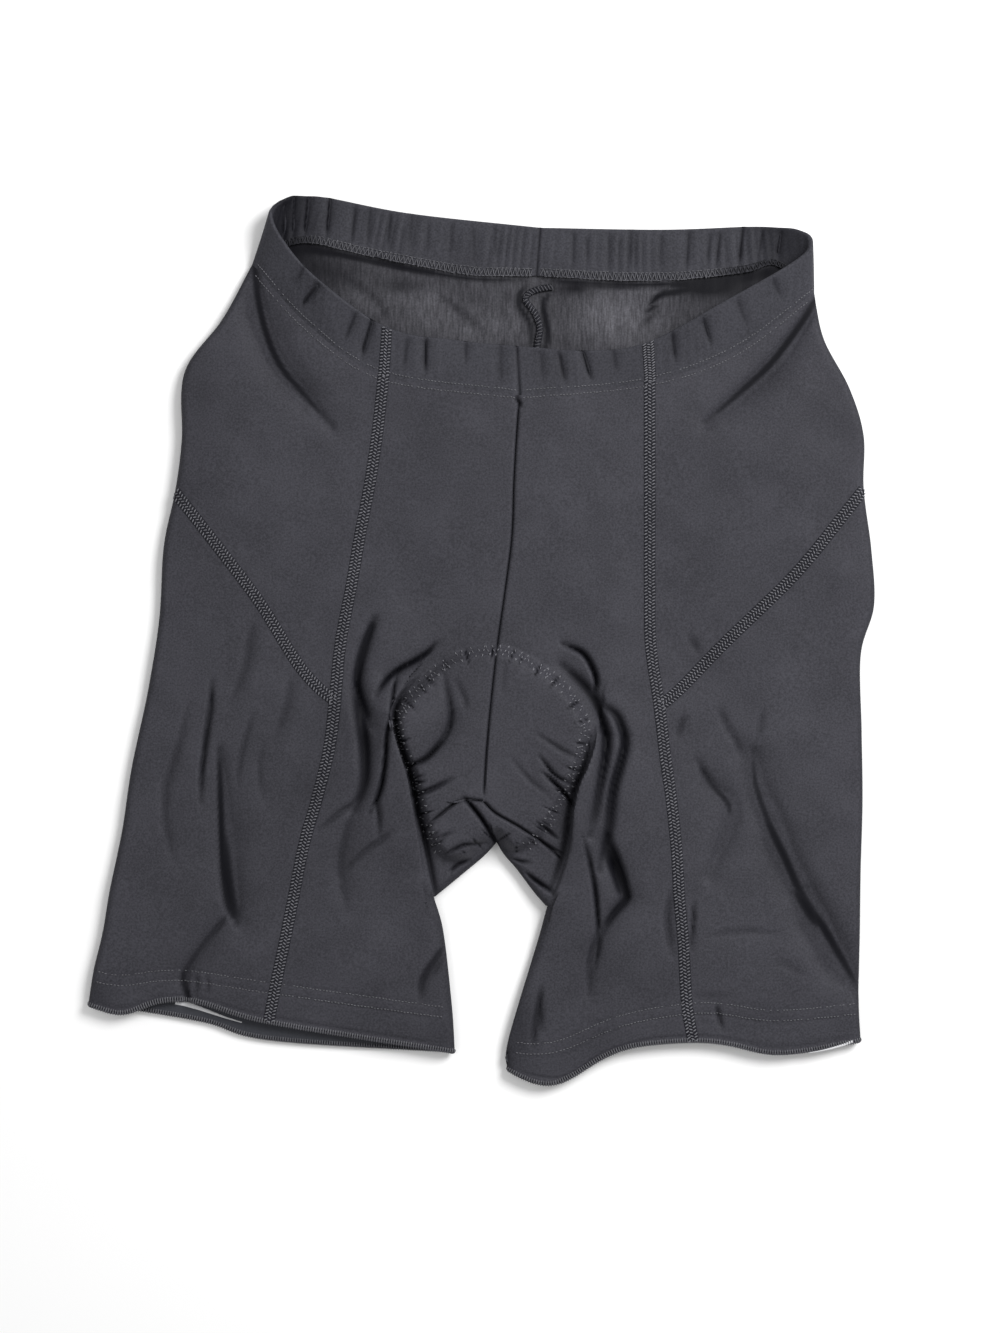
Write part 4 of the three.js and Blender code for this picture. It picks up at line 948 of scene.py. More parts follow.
# Shallow creases of the layer that rests on the table, darkened by painted shade
UNDER_FOLDS = [
    fold("below the seat, right", -3, 3, 5, [(-12, -40), (-30, -62), (-44, -84), (-52, -108)]),
    fold("below the seat, left", -3, 5, 3, [(34, -36), (50, -60), (66, -84), (74, -110), (78, -128)]),
    fold("seat, right", -2.4, 3, 4, [(-6, -74), (-26, -86), (-42, -92)]),
    fold("seat, left", -2.4, 3, 4, [(22, -72), (40, -88), (58, -96)]),
    fold("back of the right thigh", -2.6, 4, 3, [(-120, -44), (-130, -76), (-128, -104), (-136, -128)]),
    fold("back of the left thigh", -2.6, 3, 4, [(142, -52), (150, -82), (164, -112), (170, -140)]),
    fold("small of the back, right", -2.2, 4, 4, [(-104, 170), (-88, 146), (-66, 128)]),
    fold("small of the back, left", -2.2, 4, 4, [(158, 158), (140, 138), (116, 124)]),
    fold("above the right hem", -2, 3, 3, [(-70, -150), (-62, -172), (-66, -190)]),
    fold("above the left hem", -2, 3, 3, [(72, -150), (66, -170), (60, -192)]),
]
UNDER_DEPTH = 0.7

# Below this height a point of the lower layer rests on the table
RESTING = 0.3

# The inner face shows from this y up, where it lies a little higher
SHOWN_FROM = 120
SHOWN_FADE = 25
INSIDE_LIFT = 0.6


def shaded_folds(folds, x, y):
    """Height and painted shade that a list of folds adds."""
    height, shift_x, shift_y, shade = (np.zeros(x.shape) for _ in range(4))
    for one in folds:
        add_fold(one, x, y, height, shift_x, shift_y, shade)
    return height, shade


def inner_face(points):
    """Lift and painted shade of the inner face, which ripples where it shows through the waist."""
    x, y = points[:, 0], points[:, 1]
    flat_part = smooth((RESTING - points[:, 2]) / 0.25) * smooth((y - SHOWN_FROM) / SHOWN_FADE)
    ripple = 0.15 * np.sin(x / 1.7 + 1.4 * np.sin(y / 17 + x / 23))
    ripple = ripple + 0.5 * np.sin((x + 0.7 * y) / 9 + 1.3 * np.sin((x - y) / 21))
    base = painted_broad_shade(INNER_PAINTED_LIGHT, INNER_PAINTED_SHADE, x, y)
    return flat_part * (INSIDE_LIFT + ripple), base + (1 - base) * shaded_folds(INNER_PAINTED_SHADE_LINES, x, y)[1]


def under_relief(points):
    """Lift and painted shade of the outer surface where the cloth lies on the table."""
    height, shade = shaded_folds(UNDER_FOLDS, points[:, 0], points[:, 1])
    low = points[:, 2] < RESTING
    return np.where(low, UNDER_DEPTH * np.maximum(height / 3, -1), 0), np.where(low, shade, 0)


def declare(node):
    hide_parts(node)


for name, half in HALVES.items():
    flip = name == "left"
    parts = {
        "front": weld(front_patches(half, flip, FINE, row_list(FINE))),
        "hip": weld(strip_patch(half, flip, MIDDLING, False, row_list(MIDDLING))),
        "thigh": weld(strip_patch(half, flip, MIDDLING, True, row_list(MIDDLING))),
        "back": weld(back_patches(half, flip, row_list(COARSE, FINE))),
    }
    for part, (points, quads) in parts.items():
        shows_inside = part in ("back", "hip")
        inner_lift, inner_shade = inner_face(points) if shows_inside else (0.0, np.zeros(len(points)))
        outer_lift, under_shade = under_relief(points)
        v, f = wall(points, quads, PANEL_THICKNESS, outer_lift=outer_lift, inner_lift=inner_lift)
        shade = np.concatenate([np.maximum(points[:, 3], under_shade), inner_shade])
        piece = add_mesh(f"{part}_{name}_cloth", v, f, SHELL, shade)
        if shows_inside:
            piece.data.materials.append(INSIDE)
            index = np.zeros(len(piece.data.polygons), int)
            index[len(quads):2 * len(quads)] = 1
            piece.data.polygons.foreach_set("material_index", index)
        declare(f"{part}_{name}")


# Waistband: a ring of points from the centre front over the right side and back again

# Points on half of the front and on half of the back, the band's depth, and the round of its rim
FRONT_COUNT, BACK_COUNT = 165, 150
BAND_DEPTH = 26.0
BAND_ROUND = 1.3
BACK_MIDDLE = FRONT_COUNT + BACK_COUNT


def half_ring(front, back):
    """Even points along the front part and the back part of a half ring."""
    return np.vstack([resample(front, FRONT_COUNT), resample(back, BACK_COUNT)[1:]])[:, :3]


def band_half(half):
    """Low and high edge of one half of the band, from the centre front to the centre back."""
    low = half_ring(top_point(half, BAND_ROW, np.linspace(0, 3, 400)),
                    under_point(half, BAND_ROW, np.linspace(3, 6, 400)))
    stops = np.array(half["rim"], float)
    side = int(np.argmin(np.abs(stops[:, 0] - 3)))
    edges = [spline(stops[:, 1:], np.linspace(a, b, 300)) for a, b in ((0, side), (side, len(stops) - 1))]
    for edge in edges:
        edge[:, 2] = np.maximum(edge[:, 2], 0)
    return low, half_ring(*edges)


right_low, right_high = band_half(HALVES["right"])
left_low, left_high = band_half(HALVES["left"])
band_low = np.vstack([right_low, left_low[::-1][1:]])
band_high = np.vstack([right_high, left_high[::-1][1:]])
around = len(band_low) - 1

# Gathers of the elastic: x at the rim and at the seam, depth, half width, and the share of the band it spans
FRONT_GATHERS = table("rim seam depth wide start end", [
    (-84, -97, 2.2, 1.5, 0.1, 0.85),
    (-92, -103, 0.8, 1.6, 0, 0.6),
    (-65, -74, 1.1, 1.3, 0.1, 0.8),
    (-57, -64, 2.1, 1.3, 0, 0.9),
    (-38, -41, 0.8, 1.6, 0.1, 0.8),
    (-29, -29, 1.7, 1.2, 0.05, 0.85),
    (-8, -8, 0.9, 1.3, 0, 0.55),
    (10, 11, 0.7, 1.8, 0, 0.9),
    (32, 33, 0.6, 1.6, 0.1, 0.8),
    (41, 45, 1.4, 1.2, 0.1, 0.85),
    (54, 60, 1.7, 1.2, 0, 0.85),
    (70, 73, 0.7, 1.5, 0, 0.7),
    (101, 103, 1.3, 1.2, 0.05, 0.8),
    (116, 124, 1.4, 1.3, 0.1, 0.75),
    (134, 143, 0.7, 1.6, 0.1, 0.8),
    (152, 162, 0.8, 1.6, 0.1, 0.7),
])
BACK_GATHERS = table("rim seam depth wide start end", [
    (-104, -104, 1.8, 1.4, 0.1, 0.9),
    (-99, -99, 2.0, 1.1, 0, 0.9),
    (-91, -93, 2.2, 1.3, 0, 0.95),
    (-79, -82, 2.0, 1.2, 0, 0.9),
    (-66, -69, 1.1, 1.2, 0.1, 0.9),
    (-58, -61, 0.9, 1.3, 0.05, 0.85),
    (-47, -49, 1.0, 1.2, 0.1, 0.9),
    (-36, -38, 0.7, 1.4, 0, 0.8),
    (-27, -28, 0.5, 1.4, 0.2, 0.9),
    (-15, -16, 0.6, 1.5, 0.1, 0.8),
    (-3, -4, 0.5, 1.4, 0.2, 0.9),
    (8, 8, 0.5, 1.5, 0.1, 0.8),
    (49, 49, 0.8, 1.3, 0.1, 0.9),
    (56, 56, 0.7, 1.3, 0.2, 0.8),
    (68, 67, 0.6, 1.5, 0.1, 0.9),
    (80, 79, 0.7, 1.4, 0, 0.8),
    (95, 94, 0.6, 1.5, 0.1, 0.9),
    (110, 108, 1.0, 1.3, 0.05, 0.9),
    (122, 119, 0.8, 1.4, 0.1, 0.85),
    (127, 124, 1.1, 1.1, 0.1, 0.9),
    (139, 136, 1.6, 1.2, 0, 0.9),
    (149, 146, 1.3, 1.3, 0.1, 0.8),
    (159, 156, 1.7, 1.2, 0.1, 0.9),
])


def place_round(line, x, front):
    """Where a ring of the band passes x, in its own count of points."""
    k = np.arange(around + 1)
    if front:
        chosen = (k <= FRONT_COUNT) | (k >= around - FRONT_COUNT)
    else:
        chosen = (k >= FRONT_COUNT) & (k <= around - FRONT_COUNT)
    k = k[chosen]
    return float(k[np.argmin(np.abs(line[k, 0] - x) + 1e-3 * k)])


BAND_LINES = []
for gathers, front in ((FRONT_GATHERS, True), (BACK_GATHERS, False)):
    for g in gathers:
        top, bottom = place_round(band_high, g["rim"], front), place_round(band_low, g["seam"], front)
        BAND_LINES.append(dict(g, top=top, bottom=bottom))


def band_relief(k, down):
    """Height of the band's surface over its ring and the painted shade of its pleats, gathers and seams,
    k points round and down.
    """
    k, down = np.broadcast_arrays(np.asarray(k, float), np.asarray(down, float))
    share = down / BAND_DEPTH
    height = 0.25 * np.sin(k / 7.3 + 0.8 * np.sin(k / 19)) * np.sin(np.pi * np.clip(share, 0, 1))
    back = smooth((BACK_COUNT + 6 - np.abs(k - BACK_MIDDLE)) / 12)
    pleat = np.sin(1.3 * k + 1.7 * np.sin(k / 5.3) + 0.5 * share) * (0.6 + 0.4 * np.sin(k / 9.7 + 2))
    pleat = pleat * np.sqrt(np.sin(np.pi * np.clip(share, 0.03, 0.97)))
    height = height + pleat * (0.08 + 0.2 * back)
    shade = np.maximum(0, -pleat) ** 2 * (0.06 + 0.34 * back)
    for g in BAND_LINES:
        window = smooth((g["end"] + 0.06 - share) / 0.4) * smooth((share - g["start"] + 0.12) / 0.22)
        lead = k - (g["top"] + (g["bottom"] - g["top"]) * share)
        broad = bell(lead / (2.4 * g["wide"]))
        sharp = np.exp(-np.abs(lead / (0.7 * g["wide"])) ** 1.6)
        height = height - g["depth"] * window * (0.5 * broad + 0.5 * sharp)
        dark = window * (0.25 * broad + 0.75 * sharp) * min(1, g["depth"] / 1.5)
        shade = np.maximum(shade, dark)
    for at in (0, BACK_MIDDLE, around):
        seam = bell((k - at) / 0.8)
        height = height - 0.8 * seam
        shade = np.maximum(shade, 0.7 * seam)
    return height, shade


# Painted shade in the corners inside the band, at the side folds: point round, shade and half width
CORNERS = [(FRONT_COUNT + 15, 0.85, 18), (around - FRONT_COUNT - 22, 0.6, 17)]

steps_down = np.concatenate([[0, 0.12, 0.4, 0.85, 1.3], np.linspace(2.2, BAND_DEPTH, 26)])
fine_k = np.linspace(0, around, int(around * 1.4) + 1)
fine_high = spline(band_high, np.clip(fine_k, 0, around - 1e-6))
fine_low = spline(band_low, np.clip(fine_k, 0, around - 1e-6))
fine_high[-1], fine_low[-1] = fine_high[0], fine_low[0]
band_grid = fine_high[None] + (fine_low - fine_high)[None] * (steps_down / BAND_DEPTH)[:, None, None]
relief, band_shade = band_relief(fine_k[None, :], steps_down[:, None])
relief[:, -1] = relief[:, 0]
edge = BAND_ROUND * (1 - np.sqrt(1 - (1 - np.minimum(steps_down, BAND_ROUND) / BAND_ROUND) ** 2)) * 0.96
edge = np.broadcast_to(edge[:, None], relief.shape)
corner = np.broadcast_to(sum(dark * bell((fine_k - at) / wide) for at, dark, wide in CORNERS), relief.shape)
grid = np.concatenate([band_grid, np.stack([relief, edge, band_shade, corner], -1)], 2)
points, quads = weld([patch(grid, False)])
lift = points[:, 3] - points[:, 4]
v, f = wall(points, quads, BAND_THICKNESS, outer_lift=lift, inner_lift=lift)
# The band's inside gets the painted shade of its corners as well as that of its gathers
inner_painted_shade = np.maximum(points[:, 5], points[:, 6])
band = add_mesh("waistband_cloth", v, f, BAND, np.concatenate([points[:, 5], inner_painted_shade]))
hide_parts("waistband")


# Grippers inside the hems

for name, half in HALVES.items():
    flip = name == "left"
    rows = np.linspace(STITCH_ROW, HEM_ROW, 12)
    parts = front_patches(half, flip, FACING_CELL, rows) + strip_patch(half, flip, FACING_CELL, True, rows)
    points, quads = weld(parts + back_patches(half, flip, rows))
    v, f = wall(points, quads, FACING_THICKNESS, depth=PANEL_THICKNESS + LAYER_GAP, gap=1.0)
    gripper = add_mesh(f"gripper_{name}_cloth", v, f, GRIPPER)
    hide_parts(f"gripper_{name}")


# Seat pad, between the layers: rings from its edge to its middle, and how far each bulges

PAD_CENTRE = np.array([6.0, -55.0])
PAD_FLOOR = PANEL_THICKNESS + LAYER_GAP
PAD_ROOF_LIMIT = 13.2
PAD_SINK = 5
shares = np.array([1, 0.985, 0.95, 0.88, 0.75, 0.55, 0.35, 0.15])
bulge = np.array([0.0, 0.4, 0.7, 0.9, 1, 1, 1, 1])[:, None]
xy = PAD_CENTRE + (PAD_RING[None, :-1] - PAD_CENTRE) * (shares * 0.9)[:, None, None]
roof = np.minimum(cloth(xy[..., 0], xy[..., 1], False)[0] * 0.96, PAD_ROOF_LIMIT) - PAD_SINK
middle = 0.5 * (roof + PAD_FLOOR)
upper, lower = middle + (roof - middle) * bulge, middle + (PAD_FLOOR - middle) * bulge
top = np.dstack([xy, upper]).reshape(-1, 3)
bottom = np.dstack([xy, lower])[1:].reshape(-1, 3)
points = np.vstack([top, bottom, [[*PAD_CENTRE, roof[-1].mean()], [*PAD_CENTRE, PAD_FLOOR]]])
last, count = len(shares) - 1, len(PAD_RING) - 1
neighbours = [(k, (k + 1) % count) for k in range(count)]


def low_ring(r):
    """First point of a ring of the pad's lower side, whose outermost ring is the upper side's own."""
    return len(top) + (r - 1) * count if r else 0


faces = []
for r in range(last):
    for k, after in neighbours:
        a, b = r * count, (r + 1) * count
        faces.append((b + k, b + after, a + after, a + k))
        a, b = low_ring(r), low_ring(r + 1)
        faces.append((a + after, b + after, b + k, a + k))
for k, after in neighbours:
    faces.append((len(points) - 2, last * count + after, last * count + k))
    faces.append((len(points) - 1, low_ring(last) + k, low_ring(last) + after))
pad = add_mesh("seat_pad_cloth", points, faces, PAD)
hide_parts("seat_pad")


# Threads and seams: every one follows a line on a surface, given by a function of two plan lengths

def unit(v):
    return v / np.maximum(np.linalg.norm(v, axis=-1, keepdims=True), 1e-12)


def kept_inside(x, y):
    """Moves plan points that lie past a side fold back onto it."""
    for half, sign in ((HALVES["right"], 1), (HALVES["left"], -1)):
        line = side_line(half)
        near = (np.abs(x - np.interp(y, line[::-1, 1], line[::-1, 0])) < 12) & (y < line[0, 1])
        if not near.any():
            continue
        distance, side, _, ux, uy = nearest(line, x[near], y[near])
        past = np.where(side * sign < 0, distance + 0.3, 0)
        x, y = x.copy(), y.copy()
        x[near] -= past * uy * sign
        y[near] += past * ux * sign
    return x, y


def on_top(x, y):
    """Points and normals of the upper layer's outer surface."""
    def lay(x, y):
        x, y = kept_inside(x, y)
        height, shift_x, shift_y, _ = cloth(x, y)
        share = np.minimum(fold_share(HALVES["right"], x, y), fold_share(HALVES["left"], x, y))
        return np.stack([x + shift_x * share, y + shift_y * share, height * (0.5 + 0.5 * share)], -1)
    e = 0.5
    normal = np.cross(lay(x + e, y) - lay(x - e, y), lay(x, y + e) - lay(x, y - e))
    return lay(x, y), unit(normal)


def level(x, y, z, up):
    """Points at one height and their normals, up or down."""
    return np.stack([x, y, np.full(x.shape, z)], -1), np.broadcast_to([0.0, 0, up], x.shape + (3,))


def on_underside(x, y):
    return level(x, y, 0.0, -1)


def on_inside(x, y):
    """Inner face of the lower layer, seen through the waist."""
    return level(x, y, PANEL_THICKNESS + INSIDE_LIFT, 1)


def on_gripper(x, y):
    """Inner face of the gripper on the lower layer."""
    point, normal = on_inside(x, y)
    return point + normal * (FACING_THICKNESS - LAYER_GAP), normal


def band_plain(k, down):
    k = np.mod(k, around)
    share = (down / BAND_DEPTH)[..., None]
    high, low = spline(band_high, k), spline(band_low, k)
    return high + (low - high) * share


def on_band(k, down, inner=False):
    """Points and normals of the band's outer or inner face, k points round and down from its rim."""
    e = 0.5
    up = band_plain(k, down - e) - band_plain(k, down + e)
    normal = unit(np.cross(up, band_plain(k + e, down) - band_plain(k - e, down)))
    lift = band_relief(k, down)[0][..., None]
    if inner:
        return band_plain(k, down) - normal * (BAND_THICKNESS + lift), -normal
    return band_plain(k, down) + normal * lift, normal


def on_band_inside(k, down):
    return on_band(k, down, inner=True)


def plan_normals(path):
    t = unit(np.gradient(path, axis=0))
    return np.stack([t[:, 1], -t[:, 0]], 1)


def circle(side, up, angle):
    """Points of unit circles round a line, at the given angles."""
    return side[..., None, :] * np.cos(angle)[:, None] + up[..., None, :] * np.sin(angle)[:, None]


def tubes(lines, normals, radius, sides=5, taper=0.6):
    """Round threads along lines, all of one count of points: points and faces."""
    count, steps = lines.shape[:2]
    along = unit(np.gradient(lines, axis=1))
    across = unit(np.cross(along, normals))
    ring = circle(across, np.cross(across, along), np.arange(sides) * 2 * math.pi / sides)
    sizes = np.full(steps, radius)
    sizes[[0, -1]] *= taper
    points = lines[:, :, None] + ring * sizes[None, :, None, None]
    turn = np.arange(sides)
    base = (np.arange(count) * steps * sides)[:, None, None]
    rows = base + np.arange(steps - 1)[None, :, None] * sides
    a, b = rows + turn, rows + (turn + 1) % sides
    quads = np.stack([a, a + sides, b + sides, b], -1).reshape(-1, 4)
    start = base[:, 0] + turn
    end = base[:, 0] + (steps - 1) * sides + turn[::-1]
    return points.reshape(-1, 3), quads.tolist() + start.tolist() + end.tolist()


def join(parts):
    points, faces, start = [], [], 0
    for p, f in parts:
        points.append(p)
        faces += [[i + start for i in face] for face in f]
        start += len(p)
    return np.vstack(points), faces


def place(surface, xy, lift):
    point, normal = surface(xy[..., 0], xy[..., 1])
    return point + normal * np.asarray(lift)[..., None], normal


def laid_tubes(surface, xy, height, radius):
    """Threads laid on a surface, at the given heights along each."""
    line, normal = place(surface, xy, np.broadcast_to(height, xy.shape[:2]))
    return tubes(line, normal, radius)


def uneven(count, seed):
    """Fixed uneven numbers from -1 to 1."""
    value = np.sin(np.arange(count) * 12.9898 + seed * 78.233) * 43758.5453
    return 2 * (value - np.floor(value)) - 1


def rungs(path, surface, width, pitch, radius, lift, slant=0.0, shift=0.0, start=0):
    """Threads laid across a line, in a column beside it."""
    centre = even_line(path, pitch / 2)[start::2]
    across, along = plan_normals(centre), unit(np.gradient(centre, axis=0))
    offset = np.linspace(-width / 2, width / 2, 5 if width > 2.5 else 3)
    aside = shift + offset[None, :, None] + 0.18 * uneven(len(centre), start + shift)[:, None, None]
    xy = centre[:, None] + across[:, None] * aside + along[:, None] * (slant * offset / width)[None, :, None]
    return laid_tubes(surface, xy, lift * (1 - 0.45 * (2 * offset / width) ** 2), radius)


def dashes(path, surface, offset, stitch, gap, radius, lift):
    """A row of stitches beside a line."""
    step = 0.25
    fine = even_line(path, step)
    fine = fine + plan_normals(fine) * offset
    every, long = max(2, round((stitch + gap) / step)), max(1, round(stitch / step / 2))
    starts = np.arange(0, len(fine) - 2 * long - 1, every)
    starts = starts[uneven(len(starts), offset + 7) > -0.86]
    xy = fine[starts[:, None] + np.arange(3)[None] * long]
    xy = xy + 0.16 * uneven(len(starts), offset + 8)[:, None, None]
    return laid_tubes(surface, xy, lift * np.array([0.35, 1, 0.35]), radius)


def ribbon(path, surface, width, height, step=1.0, sink=0.5):
    """A low rounded strip along a line, closed all round."""
    centre = even_line(path, step)
    across = plan_normals(centre)
    offset = np.linspace(-1, 1, 7)
    spread = offset * width / 2
    xy = centre[:, None] + across[:, None] * np.broadcast_to(spread, (len(centre), 7))[..., None]
    rise = height * (1 - np.abs(offset) ** 3)
    top, _ = place(surface, xy, np.broadcast_to(rise, xy.shape[:2]))
    low, _ = place(surface, xy[:, ::-1], np.full(xy.shape[:2], -sink))
    loop = np.concatenate([top, low], 1)
    n, m = loop.shape[:2]
    faces = []
    for r in range(n - 1):
        for k in range(m):
            nxt = (k + 1) % m
            faces.append([r * m + k, (r + 1) * m + k, (r + 1) * m + nxt, r * m + nxt])
    faces += [list(range(m)), [(n - 1) * m + k for k in range(m - 1, -1, -1)]]
    return loop.reshape(-1, 3), faces


def flatlock(path, surface, lift=0.0):
    """Ladder seam: three columns of short threads, the middle one half a stitch on."""
    columns = table("start shift slant", [(0, -1.95, 0.7), (1, 0.0, -0.7), (0, 1.95, 0.7)])
    thread = [rungs(path, surface, 1.55, 1.75, 0.36, 0.62 + lift, **column) for column in columns]
    return ribbon(path, surface, 6.2, 0.42 + lift), thread


# Painted shade on the threads inside the band, which darken towards its corners: middle of the waist, start
# of the dark and its spread
WAIST_MIDDLE = 20
CORNER_START = 98
CORNER_SPREAD = 20


def thread_piece(name, node, parts, material, corner=0.0):
    """One piece of thread or trim; corner paints shade on it towards the side folds of the waist."""
    points, faces = join(parts)
    past = np.abs(points[:, 0] - WAIST_MIDDLE) - CORNER_START
    shade = corner * smooth(past / CORNER_SPREAD) if corner else None
    piece = add_mesh(name, points, faces, material, shade)
    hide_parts(node)


def coverstitch(path, surface, offsets=(0.0,)):
    """Rows of short stitches, at the given distances beside a line."""
    return [dashes(path, surface, offset, 1.0, 0.75, 0.31, 0.24) for offset in offsets]


def plan_line(plan, half, rows, across):
    """A line on the plan, where rows or across may be one number."""
    return np.stack(plan(half, rows, across), 1)


def level_line(ends, count, down):
    """A line round the band at one depth."""
    return np.stack([np.linspace(*ends, count), np.full(count, down)], 1)


def band_zigzag(line):
    """Zigzag stitches inside the band."""
    corners = even_line(line, 1.15)
    corners[:, 1] += 1.9 * (-1) ** np.arange(len(corners)) + 0.7 * uneven(len(corners), 3)
    corners[:, 0] += 0.35 * uneven(len(corners), 4)
    legs = np.stack([corners[:-1], 0.5 * (corners[:-1] + corners[1:]), corners[1:]], 1)
    return laid_tubes(on_band_inside, legs, [0.3, 0.6, 0.3], 0.28)


# How far apart the rows of stitches at a hem are, and between which points round the band is stitched
HEM_ROWS_APART = 5.4
LEFT_SIDE = around - FRONT_COUNT
FRONT_ENDS = {"right": (2, FRONT_COUNT - 3), "left": (LEFT_SIDE + 3, around - 2)}
BACK_ENDS = {"right": (FRONT_COUNT + 4, BACK_MIDDLE - 2), "left": (BACK_MIDDLE + 2, LEFT_SIDE - 4)}

for name, half in HALVES.items():
    princess = plan_line(top_plan, half, np.linspace(BAND_ROW, HEM_ROW - 0.05, 150), 1)
    across = np.linspace(1.02, 2.985, 90)
    slanted = plan_line(top_plan, half, slant_row(half, across), across)
    high_k = place_round(band_high, half["rim"][2][1], True)
    low_k = place_round(band_low, princess[0, 0], True)
    over_band = np.stack([np.linspace(high_k, low_k, 20), np.linspace(1.0, BAND_DEPTH, 20)], 1)
    back_princess = plan_line(under_plan, half, np.linspace(BAND_ROW + 0.05, HEM_ROW - 0.05, 120), 5)
    across = np.linspace(3.03, 4.98, 60)
    back_slanted = plan_line(under_plan, half, slant_row(half, across), across)
    strips, threads = [], []
    for path, surface, lift in ((princess, on_top, 0.0), (slanted, on_top, 0.0), (over_band, on_band, 0.0),
                                (back_princess, on_underside, -0.3), (back_slanted, on_underside, -0.3)):
        strip, thread = flatlock(path, surface, lift)
        strips.append(strip)
        threads += thread
    thread_piece(f"flatlock_{name}", f"front_{name}", strips, SEAM)
    thread_piece(f"flatlock_thread_{name}", f"front_{name}", threads, THREAD)

    offsets = (0.0, HEM_ROWS_APART * (-1 if name == "right" else 1))
    front_line = plan_line(top_plan, half, STITCH_ROW, np.linspace(0.05, 2.95, 200))
    back_line = plan_line(under_plan, half, STITCH_ROW, np.linspace(3.05, 5.9, 150))
    stitches = coverstitch(front_line, on_top, offsets) + coverstitch(back_line, on_underside, offsets)
    thread_piece(f"hem_stitch_{name}", f"thigh_{name}", stitches, DIM_THREAD)
    stitches = coverstitch(level_line(FRONT_ENDS[name], 200, BAND_DEPTH - 2.4), on_band)
    stitches += coverstitch(plan_line(top_plan, half, BAND_ROW + 0.085, np.linspace(0.03, 2.9, 200)), on_top)
    thread_piece(f"front_stitch_{name}", "waistband", stitches, DIM_THREAD)
    inside_line = level_line(BACK_ENDS[name], 150, BAND_DEPTH - 1.8)
    stitches = [band_zigzag(inside_line)]
    stitches += [dashes(inside_line, on_band_inside, offset, 1.6, 0.5, 0.28, 0.5) for offset in (-1.9, 1.9)]
    thread_piece(f"band_stitch_{name}", "waistband", stitches, FINE_THREAD, corner=0.8)

# Zigzag that holds the pad, left out where the pad runs under the fork
ZIGZAG_REACH = 2.9
ring = even_line(PAD_RING, 1.9)
corners = ring + plan_normals(ring) * (ZIGZAG_REACH * (-1) ** np.arange(len(ring)))[:, None]
corners = corners + 0.45 * np.stack([uneven(len(ring), 1), uneven(len(ring), 2)], 1)
legs = np.stack([corners[:-1], corners[1:]], 1)
legs = legs[~((legs[:, :, 1].min(1) < -99) & (np.abs(legs[:, :, 0].mean(1) - 1) < 22))]
bits = []
for seed, middle in enumerate((0.12, 0.5, 0.88)):
    shown = legs[uneven(len(legs), seed + 5) > -0.3]
    share = middle + 0.09 * uneven(len(shown), seed + 9)[:, None, None]
    share = share + np.linspace(-0.09, 0.09, 3)[None, :, None]
    xy = shown[:, :1] + (shown[:, 1:] - shown[:, :1]) * share
    bits.append(laid_tubes(on_top, xy, [0.05, 0.3, 0.05], 0.28))
    bits.append(laid_tubes(on_underside, xy, [0.0, 0.1, 0.0], 0.28))
thread_piece("pad_zigzag", "seat_pad", bits, DOT_THREAD)

# Overlocked rim of each leg
OVERLOCK_RADIUS = 1.35
OVERLOCK_SIDES = 8
RIM_ROW = 13.945
half_turn = 3 * (1 - np.cos(np.linspace(0, math.pi, 240))) / 2


def along_loop(loop):
    """Direction of a closed line at each of its points."""
    return unit(np.roll(loop, -1, 0) - np.roll(loop, 1, 0))


for name, half in HALVES.items():
    top = top_point(half, RIM_ROW, half_turn)[:, :3]
    under = under_point(half, RIM_ROW, 3 + half_turn[1:-1])[:, :3]
    loop = even_line(np.vstack([top, under, top[:1]]), 1.3)[:-1]
    outward = unit(np.cross(along_loop(loop), [0, -1.0 if name == "right" else 1.0, 0]))
    loop = loop - outward * OVERLOCK_RADIUS * 0.9
    along = along_loop(loop)
    side = unit(np.cross(along, [0, 0, 1.0]))
    up = np.cross(side, along)
    ring = circle(side, up, np.arange(OVERLOCK_SIDES) * 2 * math.pi / OVERLOCK_SIDES)
    points = (loop[:, None] + ring * OVERLOCK_RADIUS).reshape(-1, 3)
    faces = []
    for r in range(len(loop)):
        a, b = r * OVERLOCK_SIDES, (r + 1) % len(loop) * OVERLOCK_SIDES
        for q in range(OVERLOCK_SIDES):
            after = (q + 1) % OVERLOCK_SIDES
            faces.append([a + q, b + q, b + after, a + after])
    thread_piece(f"hem_roll_{name}", f"gripper_{name}", [(points, faces)], SEAM)
    wrap = circle(side, up, np.linspace(-0.5, math.pi + 0.5, 7))
    line = loop[:, None] + wrap * (OVERLOCK_RADIUS + 0.12)
    threads = [tubes(line, unit(line - loop[:, None]), 0.34)]
    thread_piece(f"hem_overlock_{name}", f"gripper_{name}", threads, DIM_THREAD)

# Silvery print on the grippers, seen below the right front hem and at the left hem, thin at one end
PRINTS = {
    "right": dict(width=2.6, surface=on_gripper, thin="east", path=[
        (-161, -191.2), (-156, -192.2), (-149, -194.3), (-142, -196.8), (-134, -199.6), (-126, -202)]),
    "left": dict(width=1.4, surface=on_top, thin="west", path=[
        (173, -217.4), (180, -216.2), (188, -214.2), (196, -211.5)]),
}
for name, strip in PRINTS.items():
    path = curve(strip["path"], 40)
    width = strip["width"] * (1 - 0.75 * smooth(np.linspace(-0.1, 1, len(even_line(path, 1.0)))))
    if strip["thin"] == "west":
        width = width[::-1]
    printed = ribbon(path, strip["surface"], width[:, None], 0.35, sink=0.3)
    thread_piece(f"gripper_print_{name}", f"gripper_{name}", [printed], STRIPE)

